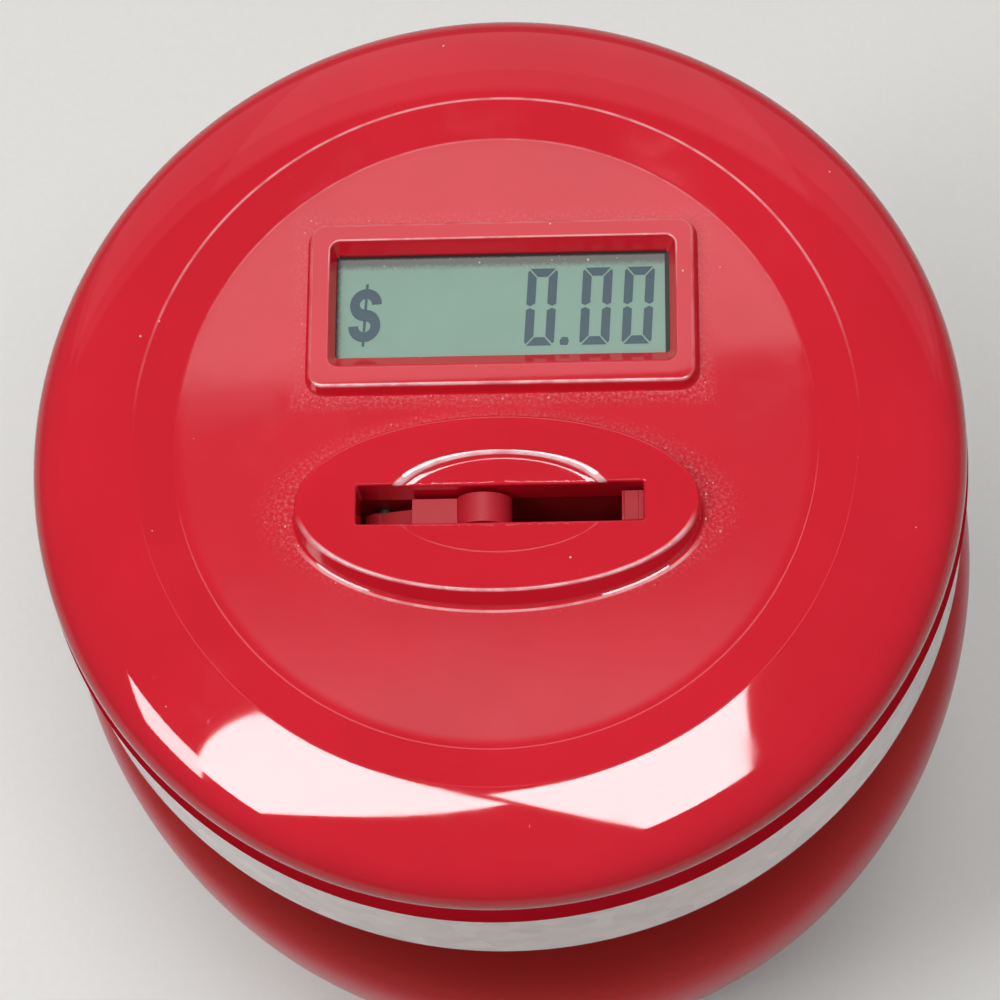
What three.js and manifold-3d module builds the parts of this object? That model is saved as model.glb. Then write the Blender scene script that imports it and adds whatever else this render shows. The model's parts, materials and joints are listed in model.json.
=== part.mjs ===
// A coin counter bank: a pot-bellied jar with a bayonet lid that measures each coin and shows the sum.
// Millimetres, +Z up. The origin is the middle of the base, and the reader of the display stands at -Y.
import * as THREE from 'three';
import { mergeVertices } from 'three/addons/utils/BufferGeometryUtils.js';
import Module from 'manifold-3d';

const wasm = await Module();
wasm.setup();

// Clearances, and the overlaps that joins and cuts need
const FIT = 0.3; // between pieces that touch or are clamped together
const RUN = 0.5; // beside pieces that slide or turn past each other
const CUT = 1; // how far a cutting tool runs past the face it cuts
const BITE = 0.2; // how far a boss or pin runs into the solid it grows from

// Jar
const NECK_R = 50.2;
const NECK_WALL = 2.4;
const NECK_CHAMFER = 0.5;
const JAR_WALL = 2.4;
const LEDGE_Z = 115.2;
const BELLY_SWELL = 3.1; // beyond the ledge under the band
const BELLY_Z = 87.5;
const FOOT_TAPER = 13; // from the belly in to the foot
const FOOT_WIDTH = 5.5;
const FOOT_CHAMFER = 0.8;
const FOOT_RECESS = 1.6;
const FLOOR_T = 2.6;
const FLOOR_ROUND = 2;

// Bright band round the neck
const BAND_HEIGHT = 15.7;
const BAND_STEP = 0.8; // from the lid's edge in to the band's top
const BAND_TAPER = 1; // from the band's foot in to its top
const BAND_OVERHANG = 0.8; // of the band's foot past the jar's ledge
const BAND_WALL = 1.5;
const BAND_CHAMFER = 0.5;

// Lid. The dish is the shallow round hollow of its top.
const SKIRT_WALL = 2.2;
const SKIRT_FLARE = 0.5;
const SKIRT_DROP = 12;
const SHOULDER_DROP = 6.5;
const CROWN_ROUND = 8.3;
const CREST_RISE = 1.2;
const RIM_SLOPE = 4.6; // from the crest in to the dish's edge
const DISH_SLOPE = 4.7; // from the dish's edge in to its floor
const DISH_DEPTH = 1.2;
const LID_WALL = 2.4;
const SEAL_SEAT_DROP = 1.9;
const COLLAR_GAP = 1.4;
const COLLAR_WALL = 2;

// Seal and bayonet lugs
const SEAL_T = 1.5;
const LUGS = 3;
const LUG_T = 2;
const LUG_REACH = 2.6; // of the jar's lugs past its neck
const LUG_EDGE = 0.4; // from the lid's lugs down to the skirt's edge
const JAR_LUG_ARC = 34;
const LID_LUG_ARC = 26;
const LUG_STOP_ARC = 2.5;
const LOCK_TURN = 45;
const FIRST_LUG = 90;

// Display
const DISPLAY_X = 0.9;
const DISPLAY_Y = 16;
const WINDOW_L = 39.7;
const WINDOW_W = 13.1;
const WINDOW_DY = 0.5;
const WINDOW_BEVEL = 1.2;
const WINDOW_CORNER = 0.4;
const WINDOW_STRAIGHT = 0.4; // of the window's wall below its bevel
const BEZEL_END = 3.15; // from the window's end to the bezel's end
const BEZEL_SIDE = 3.95;
const BEZEL_RISE = 2.2;
const BEZEL_CORNER = 2;
const BEZEL_ROUND = 0.5;
const BEZEL_DRAFT = 0.1;
const BEZEL_LAP = 0.8; // how far the bezel covers the shell beside its hole
const LCD_MARGIN = 0.9; // between the glass and the shell's hole round it
const LCD_T = 1.6;
const LCD_SINK = 0.4;
const HOLDER_FLANGE_X = 1.2;
const HOLDER_FLANGE_Y = 0.7;
const HOLDER_RAIL = 3;
const ZEBRA_H = 3.2;
const ZEBRA_W = 2;
const ZEBRA_L = 38;
const ZEBRA_INSET = 0.8;

// Circuit board
const BOARD_L = 56.8;
const BOARD_T = 1.2;
const BOARD_LOW_Y = 2.8;
const BOARD_POST_INSET = 5.3; // from the collar's bore in to the middles of the board's far posts
const EAR_MARGIN = 1.5; // of the board's ear round the switch
const POST_R = 2.4;
const POST_INSET = 2.6;
const BOARD_SCREW_R = 1;
const BOARD_SCREW_GRIP = 2.6;
const CHIP_R = 5;
const CHIP_T = 1.4;
const CHIP_DX = -6;
const CRYSTAL_R = 0.9;
const CRYSTAL_L = 6;
const CRYSTAL_DX = 7;
const CRYSTAL_DY = -3;

// Coin slot and its bezel
const SLOT_X = 0.5;
const SLOT_Y = -9.4;
const SLOT_L = 33.4;
const SLOT_W = 4.7;
const OVAL_END = 7.2; // from the slot's end to the oval's end
const OVAL_SIDE = 8.35;
const OVAL_RISE = 3.4;
const OVAL_ROUND = 1.1;
const OVAL_DRAFT = 0.15;
const OVAL_END_LAP = 3.6; // how far the oval covers the shell beside its hole
const OVAL_SIDE_LAP = 3.1;
const SCOOP_A = 14.8;
const SCOOP_B = 6.2;
const SCOOP_DEPTH = 2.4;

// Coin chute, lever and sensor
const CHUTE_WALL = 1.4;
const CHUTE_FLANGE = 2;
const STOP_BLOCK_L = 1.6;
const STOP_BLOCK_DROP = 1.8; // from the oval's top
const LEVER_W = 3.6;
const LEVER_DX = 2.7; // from the slot's end to the lever's pivot
const LEVER_Z = -9;
const LEVER_BOSS_R = 2.4;
const NOSE_R = 3.25;
const NOSE_DX = 15.05; // from the slot's end to the nose's axis
const NOSE_Z = -2.4;
const ARM_TOP_RISE = 0.8; // from the nose's axis to the arm's flat top
const ARM_T = 3.2;
const ARM_DX = 6.6; // from the slot's end to the arm's flat top
const SHAFT_R = 1;
const SPRING_WIRE_R = 0.3;
const SPRING_TURNS = 4;
const SPRING_PITCH = 0.9;
const SENSOR_T = 0.8;
const SENSOR_L = 15.5;
const SENSOR_H = 11.5;
const SENSOR_OVERHANG = 6.5; // past the lever's pivot
const WIPER_R = 4.6;
const WIPER_T = 1.2;
const CABLE_W = 3;
const CABLE_T = 0.4;

// Lid base, battery bay and door
const PLATE_T = 2.2;
const PLATE_CHAMFER = 0.6;
const BAY_Y = 18.8;
const BAY_WALL = 1.4;
const BAY_ROOM = 2.7; // under the board, for its screws and parts
const CELL_L = 44.5;
const CELL_R = 5.25;
const CELL_NUB_R = 1.9;
const CELL_NUB_L = 0.9;
const CELL_PITCH = 11;
const CONTACT_T = 0.4;
const CONTACT_W = 8;
const TAB_W = 3;
const TAB_REACH = 1.2; // how far the solder tabs stand out of the bay's end wall
const TAB_RISE = 2.8; // of the tabs' top over the cells' axes
const COIL_ROOM = 2.7;
const COIL_TURNS = 3;
const COIL_FOOT_R = 3.6;
const COIL_TIP_R = 2.4;
const BATTERY_WIRE_R = 0.55;
const DOOR_T = 1.4;
const DOOR_LEDGE = 0.8;
const DOOR_GAP = 0.4;
const STRAP_T = 0.9; // of the strip between the door's leaf and its knuckle
const KNUCKLE_R = 1.3;
const KNUCKLE_L = 14;
const DOOR_PIN_R = 0.5;
const EAR_R = 1.2;
const EAR_T = 2.2;
const NOTCH_L = 12;
const NOTCH_W = 2.4;
const NOTCH_DEPTH = 1;

// Screws that hold the lid's base to the shell
const BASE_SCREW_ANGLES = [30, 150, 229, 311];
const BASE_SCREW_R = 1.2;
const BASE_SCREW_L = 13;
const BOSS_R = 3.2;
const BOSS_INSET = 1.3; // from the collar's bore
const HEAD_RATIO = 1.9; // of a screw head's radius to its shank's
const HEAD_T = 1.3;
const DRIVER_SLOT = 0.6;

// Reset button and its switch
const BUTTON_X = 26.5;
const BUTTON_Y = -6;
const BUTTON_R = 2.6;
const BUTTON_FLANGE = 1;
const BUTTON_FLANGE_T = 1;
const BUTTON_TRAVEL = 1.2;
const BUTTON_PROUD = 0.5;
const SWITCH_L = 6;
const SWITCH_H = 3.5;
const PLUNGER_R = 1.6;
const PLUNGER_L = 0.6;

// Steps round a turned piece, an oval, a small round piece, a bore and a coil of wire
const TURN_STEPS = 48;
const OVAL_STEPS = 36;
const SMALL_STEPS = 16;
const BORE_STEPS = 12;
const COIL_STEPS = 9;
const WIRE_SIDES = 5;

// Radii that follow from the neck's
const SHOULDER_BORE_R = NECK_R + LUG_REACH + RUN;
const SHOULDER_R = SHOULDER_BORE_R + SKIRT_WALL;
const LID_R = SHOULDER_R + SKIRT_FLARE;
const SKIRT_BORE_R = LID_R - SKIRT_WALL;
const CREST_R = SHOULDER_R - CROWN_ROUND;
const DISH_R = CREST_R - RIM_SLOPE;
const DISH_FLOOR_R = DISH_R - DISH_SLOPE;
const BAND_TOP_R = LID_R - BAND_STEP;
const BAND_FOOT_R = BAND_TOP_R + BAND_TAPER;
const LEDGE_R = BAND_FOOT_R - BAND_OVERHANG;
const BELLY_R = LEDGE_R + BELLY_SWELL;
const FOOT_R = BELLY_R - FOOT_TAPER;
const NECK_BORE_R = NECK_R - NECK_WALL;
const COLLAR_R = NECK_BORE_R - COLLAR_GAP;
const COLLAR_BORE_R = COLLAR_R - COLLAR_WALL;
const LUG_OUTER_R = NECK_R + LUG_REACH;

// Heights of the jar
const FLOOR_Z = FOOT_RECESS + FLOOR_T;
const BAND_FOOT_Z = LEDGE_Z + FIT;
const BAND_TOP_Z = BAND_FOOT_Z + BAND_HEIGHT;
const LID_PLANE_Z = BAND_TOP_Z + FIT + SKIRT_DROP;

// Heights in the lid, which count from the dish's edge
const NECK_TOP = -SEAL_SEAT_DROP - FIT - SEAL_T - FIT;
const LUG_DROP = SKIRT_DROP - LUG_EDGE - 2 * LUG_T - FIT;
const DISH_Z = -DISH_DEPTH;
const UNDER_Z = DISH_Z - LID_WALL;
const SEAT_Z = DISH_Z + FIT;
const BEZEL_TOP = DISH_Z + BEZEL_RISE;
const OVAL_TOP = DISH_Z + OVAL_RISE;
const LCD_TOP = DISH_Z - LCD_SINK;
const LCD_BACK = LCD_TOP - LCD_T;
const BOARD_TOP = LCD_BACK - ZEBRA_H - 2 * FIT;
const BOARD_BACK = BOARD_TOP - BOARD_T;
const BAY_TOP = BOARD_BACK - BAY_ROOM;
const CELL_Z = BAY_TOP - BAY_WALL - FIT - CELL_R;
const TAB_TOP = CELL_Z + TAB_RISE;
const DOOR_TOP = CELL_Z - CELL_R - FIT;
const PLATE_BACK = DOOR_TOP - DOOR_T;
const PLATE_TOP = PLATE_BACK + PLATE_T;
const COLLAR_END = PLATE_TOP + FIT;
const PLUNGER_END = BOARD_BACK - FIT - SWITCH_H - PLUNGER_L;
const BUTTON_TOP = PLUNGER_END - FIT - BUTTON_TRAVEL;

// Display, slot and chute in plan
const BEZEL_L = WINDOW_L + 2 * BEZEL_END;
const BEZEL_W = WINDOW_W + 2 * BEZEL_SIDE;
const LCD_L = BEZEL_L - 2 * BEZEL_LAP - 2 * LCD_MARGIN;
const LCD_W = BEZEL_W - 2 * BEZEL_LAP - 2 * LCD_MARGIN;
const ZEBRA_Y = DISPLAY_Y + LCD_W / 2 - ZEBRA_W / 2 - ZEBRA_INSET;
const OVAL_A = SLOT_L / 2 + OVAL_END;
const OVAL_B = SLOT_W / 2 + OVAL_SIDE;
const SLOT_LOW_X = SLOT_X - SLOT_L / 2;
const SLOT_HIGH_X = SLOT_X + SLOT_L / 2;
const CHUTE_HALF_W = SLOT_W / 2 + FIT;
const CHUTE_LOW_X = SLOT_LOW_X - RUN;
const CHUTE_HIGH_X = SLOT_HIGH_X + RUN;
const CHUTE_BACK_Y = SLOT_Y + CHUTE_HALF_W + CHUTE_WALL;
const CHUTE_FRONT_Y = SLOT_Y - CHUTE_HALF_W - CHUTE_WALL;
const LEVER_LOW_Y = SLOT_Y - LEVER_W / 2;
const LEVER_HIGH_Y = SLOT_Y + LEVER_W / 2;
const LEVER_X = SLOT_LOW_X + LEVER_DX;
const NOSE_X = SLOT_LOW_X + NOSE_DX;
const SENSOR_LOW_X = LEVER_X - SENSOR_OVERHANG;
const SENSOR_Y = CHUTE_BACK_Y + FIT;
const SENSOR_BACK_Y = SENSOR_Y + SENSOR_T;
const WIPER_Y = SENSOR_BACK_Y + FIT;
const SPRING_START_Y = CHUTE_FRONT_Y - 2 * FIT - SPRING_TURNS * SPRING_PITCH;

// Board and battery bay in plan
const POST_DX = BOARD_L / 2 - POST_INSET;
const FAR_POST_Y = Math.sqrt((COLLAR_BORE_R - BOARD_POST_INSET) ** 2 - (DISPLAY_X + POST_DX) ** 2);
const BOARD_HIGH_Y = FAR_POST_Y + POST_INSET;
const BOARD_Y = (BOARD_LOW_Y + BOARD_HIGH_Y) / 2;
const BAY_HALF_L = (CELL_L + COIL_ROOM + 2 * CONTACT_T + 4 * FIT) / 2;
const BAY_HALF_W = CELL_PITCH / 2 + CELL_R + FIT;
const CELL_YS = [BAY_Y - CELL_PITCH / 2, BAY_Y + CELL_PITCH / 2];
const DOOR_EDGE_Y = BAY_Y + BAY_HALF_W + DOOR_LEDGE - DOOR_GAP;
const HINGE_Y = DOOR_EDGE_Y + KNUCKLE_R + BITE;
const EAR_FROM = KNUCKLE_L / 2 + DOOR_GAP;
const EAR_TO = EAR_FROM + EAR_T;

const red = finish(0xc4101f, 0.25, 0);
const deepRed = finish(0x8c0c18, 0.2, 0.4);
const bright = finish(0xd8d8da, 0.12, 1);
const steel = finish(0xa9abad, 0.35, 1);
const brass = finish(0xc9a24a, 0.35, 1);
const rubber = finish(0x2a2a2c, 0.8, 0);
const board = finish(0x1f5b36, 0.5, 0);
const black = finish(0x151515, 0.4, 0);
const liquidCrystal = finish(0x8fa596, 0.3, 0);
const cellJacket = finish(0x3a3d45, 0.35, 0.3);

function finish(color, roughness, metalness) {
  return new THREE.MeshStandardMaterial({ color, roughness, metalness });
}

// A closed three.js geometry as a solid for joining and cutting
function solid(geometry) {
  const bare = geometry.clone();
  bare.deleteAttribute('normal');
  bare.deleteAttribute('uv');
  const merged = mergeVertices(bare, 1e-4);
  const index = merged.index.array;
  const triangles = [];
  for (let i = 0; i < index.length; i += 3) {
    const [a, b, c] = [index[i], index[i + 1], index[i + 2]];
    if (a !== b && b !== c && c !== a) triangles.push(a, b, c);
  }
  return new wasm.Manifold(new wasm.Mesh({
    numProp: 3,
    vertProperties: new Float32Array(merged.attributes.position.array),
    triVerts: new Uint32Array(triangles),
  }));
}

function join(first, ...rest) {
  return rest.reduce((sum, piece) => sum.add(piece), first);
}

function cut(first, ...tools) {
  return tools.reduce((sum, tool) => sum.subtract(tool), first);
}

function mesh(name, shape, material) {
  const { vertProperties, triVerts } = shape.getMesh();
  const geometry = new THREE.BufferGeometry();
  geometry.setAttribute('position', new THREE.BufferAttribute(new Float32Array(vertProperties), 3));
  geometry.setIndex(new THREE.BufferAttribute(new Uint32Array(triVerts), 1));
  geometry.computeVertexNormals();
  const piece = new THREE.Mesh(geometry, material);
  piece.name = name;
  return piece;
}

// A ring or disc turned about Z from a closed outline of [radius, height] points
function turned(outline, steps = TURN_STEPS) {
  const area = THREE.ShapeUtils.area(outline.map(([r, z]) => new THREE.Vector2(r, z)));
  const points = (area > 0 ? outline : [...outline].reverse()).map(([r, z]) => new THREE.Vector2(r, z));
  const touchesAxis = points.some((p) => p.x === 0);
  const first = points.findIndex((p, i) => p.x === 0 && points[(i + 1) % points.length].x > 0);
  const ordered = touchesAxis ? [...points.slice(first), ...points.slice(0, first)] : [...points, points[0]];
  return solid(new THREE.LatheGeometry(ordered, steps).rotateX(Math.PI / 2));
}

// A box between two opposite corners, given as pairs of X, Y and Z in either order
function block(x0, x1, y0, y1, z0, z1) {
  const box = new THREE.BoxGeometry(Math.abs(x1 - x0), Math.abs(y1 - y0), Math.abs(z1 - z0));
  return solid(box.translate((x0 + x1) / 2, (y0 + y1) / 2, (z0 + z1) / 2));
}

function centred(x, y, length, width, z0, z1) {
  return block(x - length / 2, x + length / 2, y - width / 2, y + width / 2, z0, z1);
}

function upright(x, y, z0, z1, radius, steps = SMALL_STEPS) {
  const drum = new THREE.CylinderGeometry(radius, radius, z1 - z0, steps).rotateX(Math.PI / 2);
  return solid(drum.translate(x, y, (z0 + z1) / 2));
}

function alongY(x, z, y0, y1, radius, steps = SMALL_STEPS) {
  const drum = new THREE.CylinderGeometry(radius, radius, y1 - y0, steps);
  return solid(drum.translate(x, (y0 + y1) / 2, z));
}

function alongX(y, z, x0, x1, radius, steps = SMALL_STEPS) {
  const drum = new THREE.CylinderGeometry(radius, radius, Math.abs(x1 - x0), steps).rotateZ(Math.PI / 2);
  return solid(drum.translate((x0 + x1) / 2, y, z));
}

// A side view of [x, z] points, given its width along Y
function sideways(points, y0, y1) {
  const shape = new THREE.Shape(points.map(([x, z]) => new THREE.Vector2(x, z)));
  const body = new THREE.ExtrudeGeometry(shape, { depth: y1 - y0, bevelEnabled: false });
  return solid(body.rotateX(Math.PI / 2).translate(0, y1, 0));
}

// A stretch of a ring round Z, from its middle angle and its arc in degrees
function sector(r0, r1, middle, arc, z0, z1) {
  const from = THREE.MathUtils.degToRad(middle - arc / 2);
  const to = THREE.MathUtils.degToRad(middle + arc / 2);
  const shape = new THREE.Shape();
  shape.absarc(0, 0, r1, from, to, false);
  shape.absarc(0, 0, r0, to, from, true);
  const body = new THREE.ExtrudeGeometry(shape, { depth: z1 - z0, bevelEnabled: false, curveSegments: 5 });
  return solid(body.translate(0, 0, z0));
}

function roundedOutline(x, y, length, width, radius, steps = 4) {
  const corners = [[1, 1, 0], [-1, 1, 90], [-1, -1, 180], [1, -1, 270]];
  return corners.flatMap(([sx, sy, start]) => Array.from({ length: steps + 1 }, (_, i) => {
    const angle = THREE.MathUtils.degToRad(start + (90 * i) / steps);
    const [cx, cy] = [x + sx * (length / 2 - radius), y + sy * (width / 2 - radius)];
    return [cx + radius * Math.cos(angle), cy + radius * Math.sin(angle)];
  }));
}

function ovalOutline(x, y, a, b, steps = OVAL_STEPS) {
  return Array.from({ length: steps }, (_, i) => {
    const angle = (2 * Math.PI * i) / steps;
    return [x + a * Math.cos(angle), y + b * Math.sin(angle)];
  });
}

// Points of a quarter ellipse from its highest point out to its widest
function quarter(centreR, centreZ, a, b, steps) {
  return Array.from({ length: steps + 1 }, (_, i) => {
    const angle = (Math.PI / 2) * (i / steps);
    return [centreR + a * Math.sin(angle), centreZ + b * Math.cos(angle)];
  });
}

// A solid through outlines with equal numbers of points, each [outline, z], from the lowest up
function lofted(...rings) {
  const count = rings[0][0].length;
  const positions = rings.flatMap(([outline, z]) => outline.flatMap(([x, y]) => [x, y, z]));
  const index = [];
  for (let r = 0; r + 1 < rings.length; r += 1) {
    for (let i = 0; i < count; i += 1) {
      const [a, b] = [r * count + i, r * count + ((i + 1) % count)];
      index.push(a, b, b + count, a, b + count, a + count);
    }
  }
  const flat = rings[0][0].map(([x, y]) => new THREE.Vector2(x, y));
  const top = (rings.length - 1) * count;
  for (const [a, b, c] of THREE.ShapeUtils.triangulateShape(flat, [])) {
    index.push(c, b, a, top + a, top + b, top + c);
  }
  const geometry = new THREE.BufferGeometry();
  geometry.setAttribute('position', new THREE.Float32BufferAttribute(positions, 3));
  geometry.setIndex(index);
  return solid(geometry);
}

// A wire that winds along X or Y while its radius changes evenly
class Winding extends THREE.Curve {
  constructor({ start, along, length, from, to, turns }) {
    super();
    Object.assign(this, { start, along, length, from, to, turns });
  }

  getPoint(t, target = new THREE.Vector3()) {
    const angle = 2 * Math.PI * this.turns * t;
    const radius = this.from + (this.to - this.from) * t;
    const [c, s] = [radius * Math.cos(angle), radius * Math.sin(angle)];
    const way = this.length * t;
    const step = this.along === 'x' ? [way, c, s] : [c, way, s];
    return target.set(...step).add(this.start);
  }
}

function wire(curve, radius, steps, sides = WIRE_SIDES) {
  const section = ovalOutline(0, 0, radius, radius, sides).map(([x, y]) => new THREE.Vector2(x, y));
  const shape = new THREE.Shape(section);
  return solid(new THREE.ExtrudeGeometry(shape, { steps, extrudePath: curve, bevelEnabled: false }));
}

// A pan-head screw whose head hangs below z, with a driver slot across the head
function screw(x, y, z, length, radius) {
  const headR = HEAD_RATIO * radius;
  const foot = z - HEAD_T;
  const slot = centred(x, y, 2 * headR + CUT, DRIVER_SLOT, foot - CUT, foot + DRIVER_SLOT);
  const shank = upright(x, y, z - BITE, z + length, radius, BORE_STEPS);
  return join(cut(upright(x, y, foot, z, headR), slot), shank);
}

// The jar's outline from the foot over the belly to the ledge under the band
function bellyOutline() {
  const foot = new THREE.Vector2(FOOT_R + FOOT_CHAMFER, FOOT_RECESS);
  const belly = new THREE.Vector2(BELLY_R, BELLY_Z);
  const ledge = new THREE.Vector2(LEDGE_R, LEDGE_Z);
  const lower = new THREE.CubicBezierCurve(
    foot,
    new THREE.Vector2(FOOT_R + 0.35 * FOOT_TAPER, 0.36 * BELLY_Z),
    new THREE.Vector2(BELLY_R, 0.62 * BELLY_Z),
    belly,
  );
  const rise = LEDGE_Z - BELLY_Z;
  const upper = new THREE.CubicBezierCurve(
    belly,
    new THREE.Vector2(BELLY_R, BELLY_Z + 0.5 * rise),
    new THREE.Vector2(LEDGE_R + 0.4 * BELLY_SWELL, LEDGE_Z - 0.2 * rise),
    ledge,
  );
  return [...lower.getPoints(8), ...upper.getPoints(4).slice(1)].map((p) => [p.x, p.y]);
}

function jarBody() {
  const outside = bellyOutline();
  const shoulder = LEDGE_Z - JAR_WALL;
  const neckTop = LID_PLANE_Z + NECK_TOP;
  const inside = outside.map(([r, z]) => [r - JAR_WALL, z])
    .filter(([, z]) => z > FLOOR_Z + 2 * FLOOR_ROUND && z < shoulder - CUT);
  const shell = turned([
    [0, FOOT_RECESS], [FOOT_R - FOOT_WIDTH - FOOT_CHAMFER, FOOT_RECESS],
    [FOOT_R - FOOT_WIDTH, 0], [FOOT_R, 0],
    ...outside,
    [NECK_R, LEDGE_Z], [NECK_R, neckTop - NECK_CHAMFER], [NECK_R - NECK_CHAMFER, neckTop],
    [NECK_BORE_R, neckTop], [NECK_BORE_R, shoulder], [LEDGE_R - JAR_WALL, shoulder],
    ...inside.reverse(),
    [FOOT_R - JAR_WALL, FLOOR_Z + FLOOR_ROUND], [FOOT_R - JAR_WALL - FLOOR_ROUND, FLOOR_Z], [0, FLOOR_Z],
  ]);
  return join(shell, ...eachLug(jarLug));
}

function eachLug(make) {
  return Array.from({ length: LUGS }, (_, i) => make(FIRST_LUG + (360 * i) / LUGS));
}

// A lug with a stop under one end, which the lid's lug meets when it has turned home
function jarLug(angle) {
  const top = LID_PLANE_Z - LUG_DROP;
  const root = NECK_R - NECK_WALL / 2;
  const stopAngle = angle - LID_LUG_ARC / 2 - LUG_STOP_ARC;
  return join(
    sector(root, LUG_OUTER_R, angle, JAR_LUG_ARC, top - LUG_T, top),
    sector(root, LUG_OUTER_R, stopAngle, LUG_STOP_ARC, top - 2 * LUG_T - FIT, top - LUG_T / 2),
  );
}

function trimBand() {
  const bore = NECK_R + FIT;
  return turned([
    [BAND_FOOT_R - BAND_WALL, BAND_FOOT_Z], [BAND_FOOT_R, BAND_FOOT_Z],
    [BAND_TOP_R, BAND_TOP_Z - BAND_CHAMFER], [BAND_TOP_R - BAND_CHAMFER, BAND_TOP_Z],
    [bore, BAND_TOP_Z], [bore, BAND_TOP_Z - BAND_WALL], [BAND_TOP_R - BAND_WALL, BAND_TOP_Z - BAND_WALL],
  ]);
}

function sealRing() {
  const top = -SEAL_SEAT_DROP - FIT;
  const [inner, outer] = [COLLAR_R + RUN, NECK_R - FIT];
  return turned([[inner, top - SEAL_T], [outer, top - SEAL_T], [outer, top], [inner, top]]);
}

function baseScrewSpots() {
  const radius = COLLAR_BORE_R - BOSS_R - BOSS_INSET;
  return BASE_SCREW_ANGLES.map((degrees) => {
    const angle = THREE.MathUtils.degToRad(degrees);
    return [radius * Math.cos(angle), radius * Math.sin(angle)];
  });
}

function boardScrewSpots() {
  return [BOARD_LOW_Y + POST_INSET, FAR_POST_Y]
    .flatMap((y) => [[DISPLAY_X - POST_DX, y], [DISPLAY_X + POST_DX, y]]);
}

function lidTurning() {
  const crownHeight = CREST_RISE + SHOULDER_DROP;
  const seatR = NECK_R + FIT;
  return turned([
    [0, UNDER_Z], [COLLAR_BORE_R, UNDER_Z], [COLLAR_BORE_R, COLLAR_END], [COLLAR_R, COLLAR_END],
    [COLLAR_R, -SEAL_SEAT_DROP],
    ...quarter(seatR, -SHOULDER_DROP, SHOULDER_BORE_R - seatR, SHOULDER_DROP - SEAL_SEAT_DROP, 3),
    [SKIRT_BORE_R, -SKIRT_DROP], [LID_R, -SKIRT_DROP],
    ...quarter(CREST_R, -SHOULDER_DROP, CROWN_ROUND, crownHeight, 7).reverse(),
    [DISH_R + RIM_SLOPE / 4, CREST_RISE / 2], [DISH_R, 0], [DISH_FLOOR_R, DISH_Z], [0, DISH_Z],
  ]);
}

function lidLug(angle) {
  const top = -LUG_DROP - LUG_T - FIT;
  const root = SHOULDER_BORE_R + SKIRT_WALL / 2;
  return sector(NECK_R + RUN, root, angle + LOCK_TURN, LID_LUG_ARC, top - LUG_T, top);
}

function lidShell() {
  const posts = boardScrewSpots().map(([x, y]) => upright(x, y, BOARD_TOP + FIT, UNDER_Z + BITE, POST_R));
  const bosses = baseScrewSpots().map(([x, y]) => upright(x, y, COLLAR_END, UNDER_Z + BITE, BOSS_R));
  const postBores = boardScrewSpots()
    .map(([x, y]) => upright(x, y, BOARD_TOP - CUT, UNDER_Z, BOARD_SCREW_R + FIT, BORE_STEPS));
  const bossBores = baseScrewSpots().map(([x, y]) => upright(
    x, y, COLLAR_END - CUT, PLATE_BACK + BASE_SCREW_L + RUN, BASE_SCREW_R + FIT, BORE_STEPS,
  ));
  return cut(
    join(lidTurning(), ...eachLug(lidLug), ...posts, ...bosses),
    displayPlug(0, UNDER_Z - CUT, DISH_Z + CUT),
    slotPlug(0, UNDER_Z - CUT, DISH_Z + CUT),
    ...postBores,
    ...bossBores,
  );
}

// What fills the shell's hole behind the display bezel, or less than it by the gap
function displayPlug(gap, z0, z1) {
  const [length, width] = [BEZEL_L - 2 * (BEZEL_LAP + gap), BEZEL_W - 2 * (BEZEL_LAP + gap)];
  const outline = roundedOutline(DISPLAY_X, DISPLAY_Y, length, width, BEZEL_CORNER - BEZEL_LAP);
  return lofted([outline, z0], [outline, z1]);
}

// What fills the shell's hole behind the slot bezel, or less than it by the gap
function slotPlug(gap, z0, z1) {
  const outline = ovalOutline(SLOT_X, SLOT_Y, OVAL_A - OVAL_END_LAP - gap, OVAL_B - OVAL_SIDE_LAP - gap);
  return lofted([outline, z0], [outline, z1]);
}

function displayBezel() {
  const outside = (inset) => roundedOutline(
    DISPLAY_X, DISPLAY_Y, BEZEL_L - 2 * inset, BEZEL_W - 2 * inset, BEZEL_CORNER - inset,
  );
  const window = (grow) => roundedOutline(
    DISPLAY_X, DISPLAY_Y + WINDOW_DY, WINDOW_L + 2 * grow, WINDOW_W + 2 * grow, WINDOW_CORNER + grow,
  );
  const frame = lofted(
    [outside(0), SEAT_Z],
    [outside(BEZEL_DRAFT), BEZEL_TOP - BEZEL_ROUND],
    [outside(BEZEL_DRAFT + BEZEL_ROUND), BEZEL_TOP],
  );
  const opening = lofted(
    [window(0), LCD_TOP - CUT],
    [window(0), DISH_Z + WINDOW_STRAIGHT],
    [window(WINDOW_BEVEL), BEZEL_TOP],
    [window(WINDOW_BEVEL), BEZEL_TOP + CUT],
  );
  return cut(join(frame, displayPlug(FIT, LCD_TOP + FIT, SEAT_Z + BITE)), opening);
}

function slotBezel() {
  const oval = (inset) => ovalOutline(SLOT_X, SLOT_Y, OVAL_A - inset, OVAL_B - inset);
  const pad = lofted(
    [oval(0), SEAT_Z],
    [oval(OVAL_DRAFT), OVAL_TOP - OVAL_ROUND],
    [oval(0.4 * OVAL_ROUND), OVAL_TOP - 0.35 * OVAL_ROUND],
    [oval(1.3 * OVAL_ROUND), OVAL_TOP],
  );
  const scoop = new THREE.SphereGeometry(1, 28, 14).scale(SCOOP_A, SCOOP_B, SCOOP_DEPTH);
  return cut(
    join(pad, slotPlug(FIT, UNDER_Z, SEAT_Z + BITE)),
    solid(scoop.translate(SLOT_X, SLOT_Y, OVAL_TOP)),
    centred(SLOT_X, SLOT_Y, SLOT_L, SLOT_W, UNDER_Z - CUT, OVAL_TOP + CUT),
  );
}

function lcdGlass() {
  return centred(DISPLAY_X, DISPLAY_Y, LCD_L, LCD_W, LCD_BACK, LCD_TOP);
}

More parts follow.
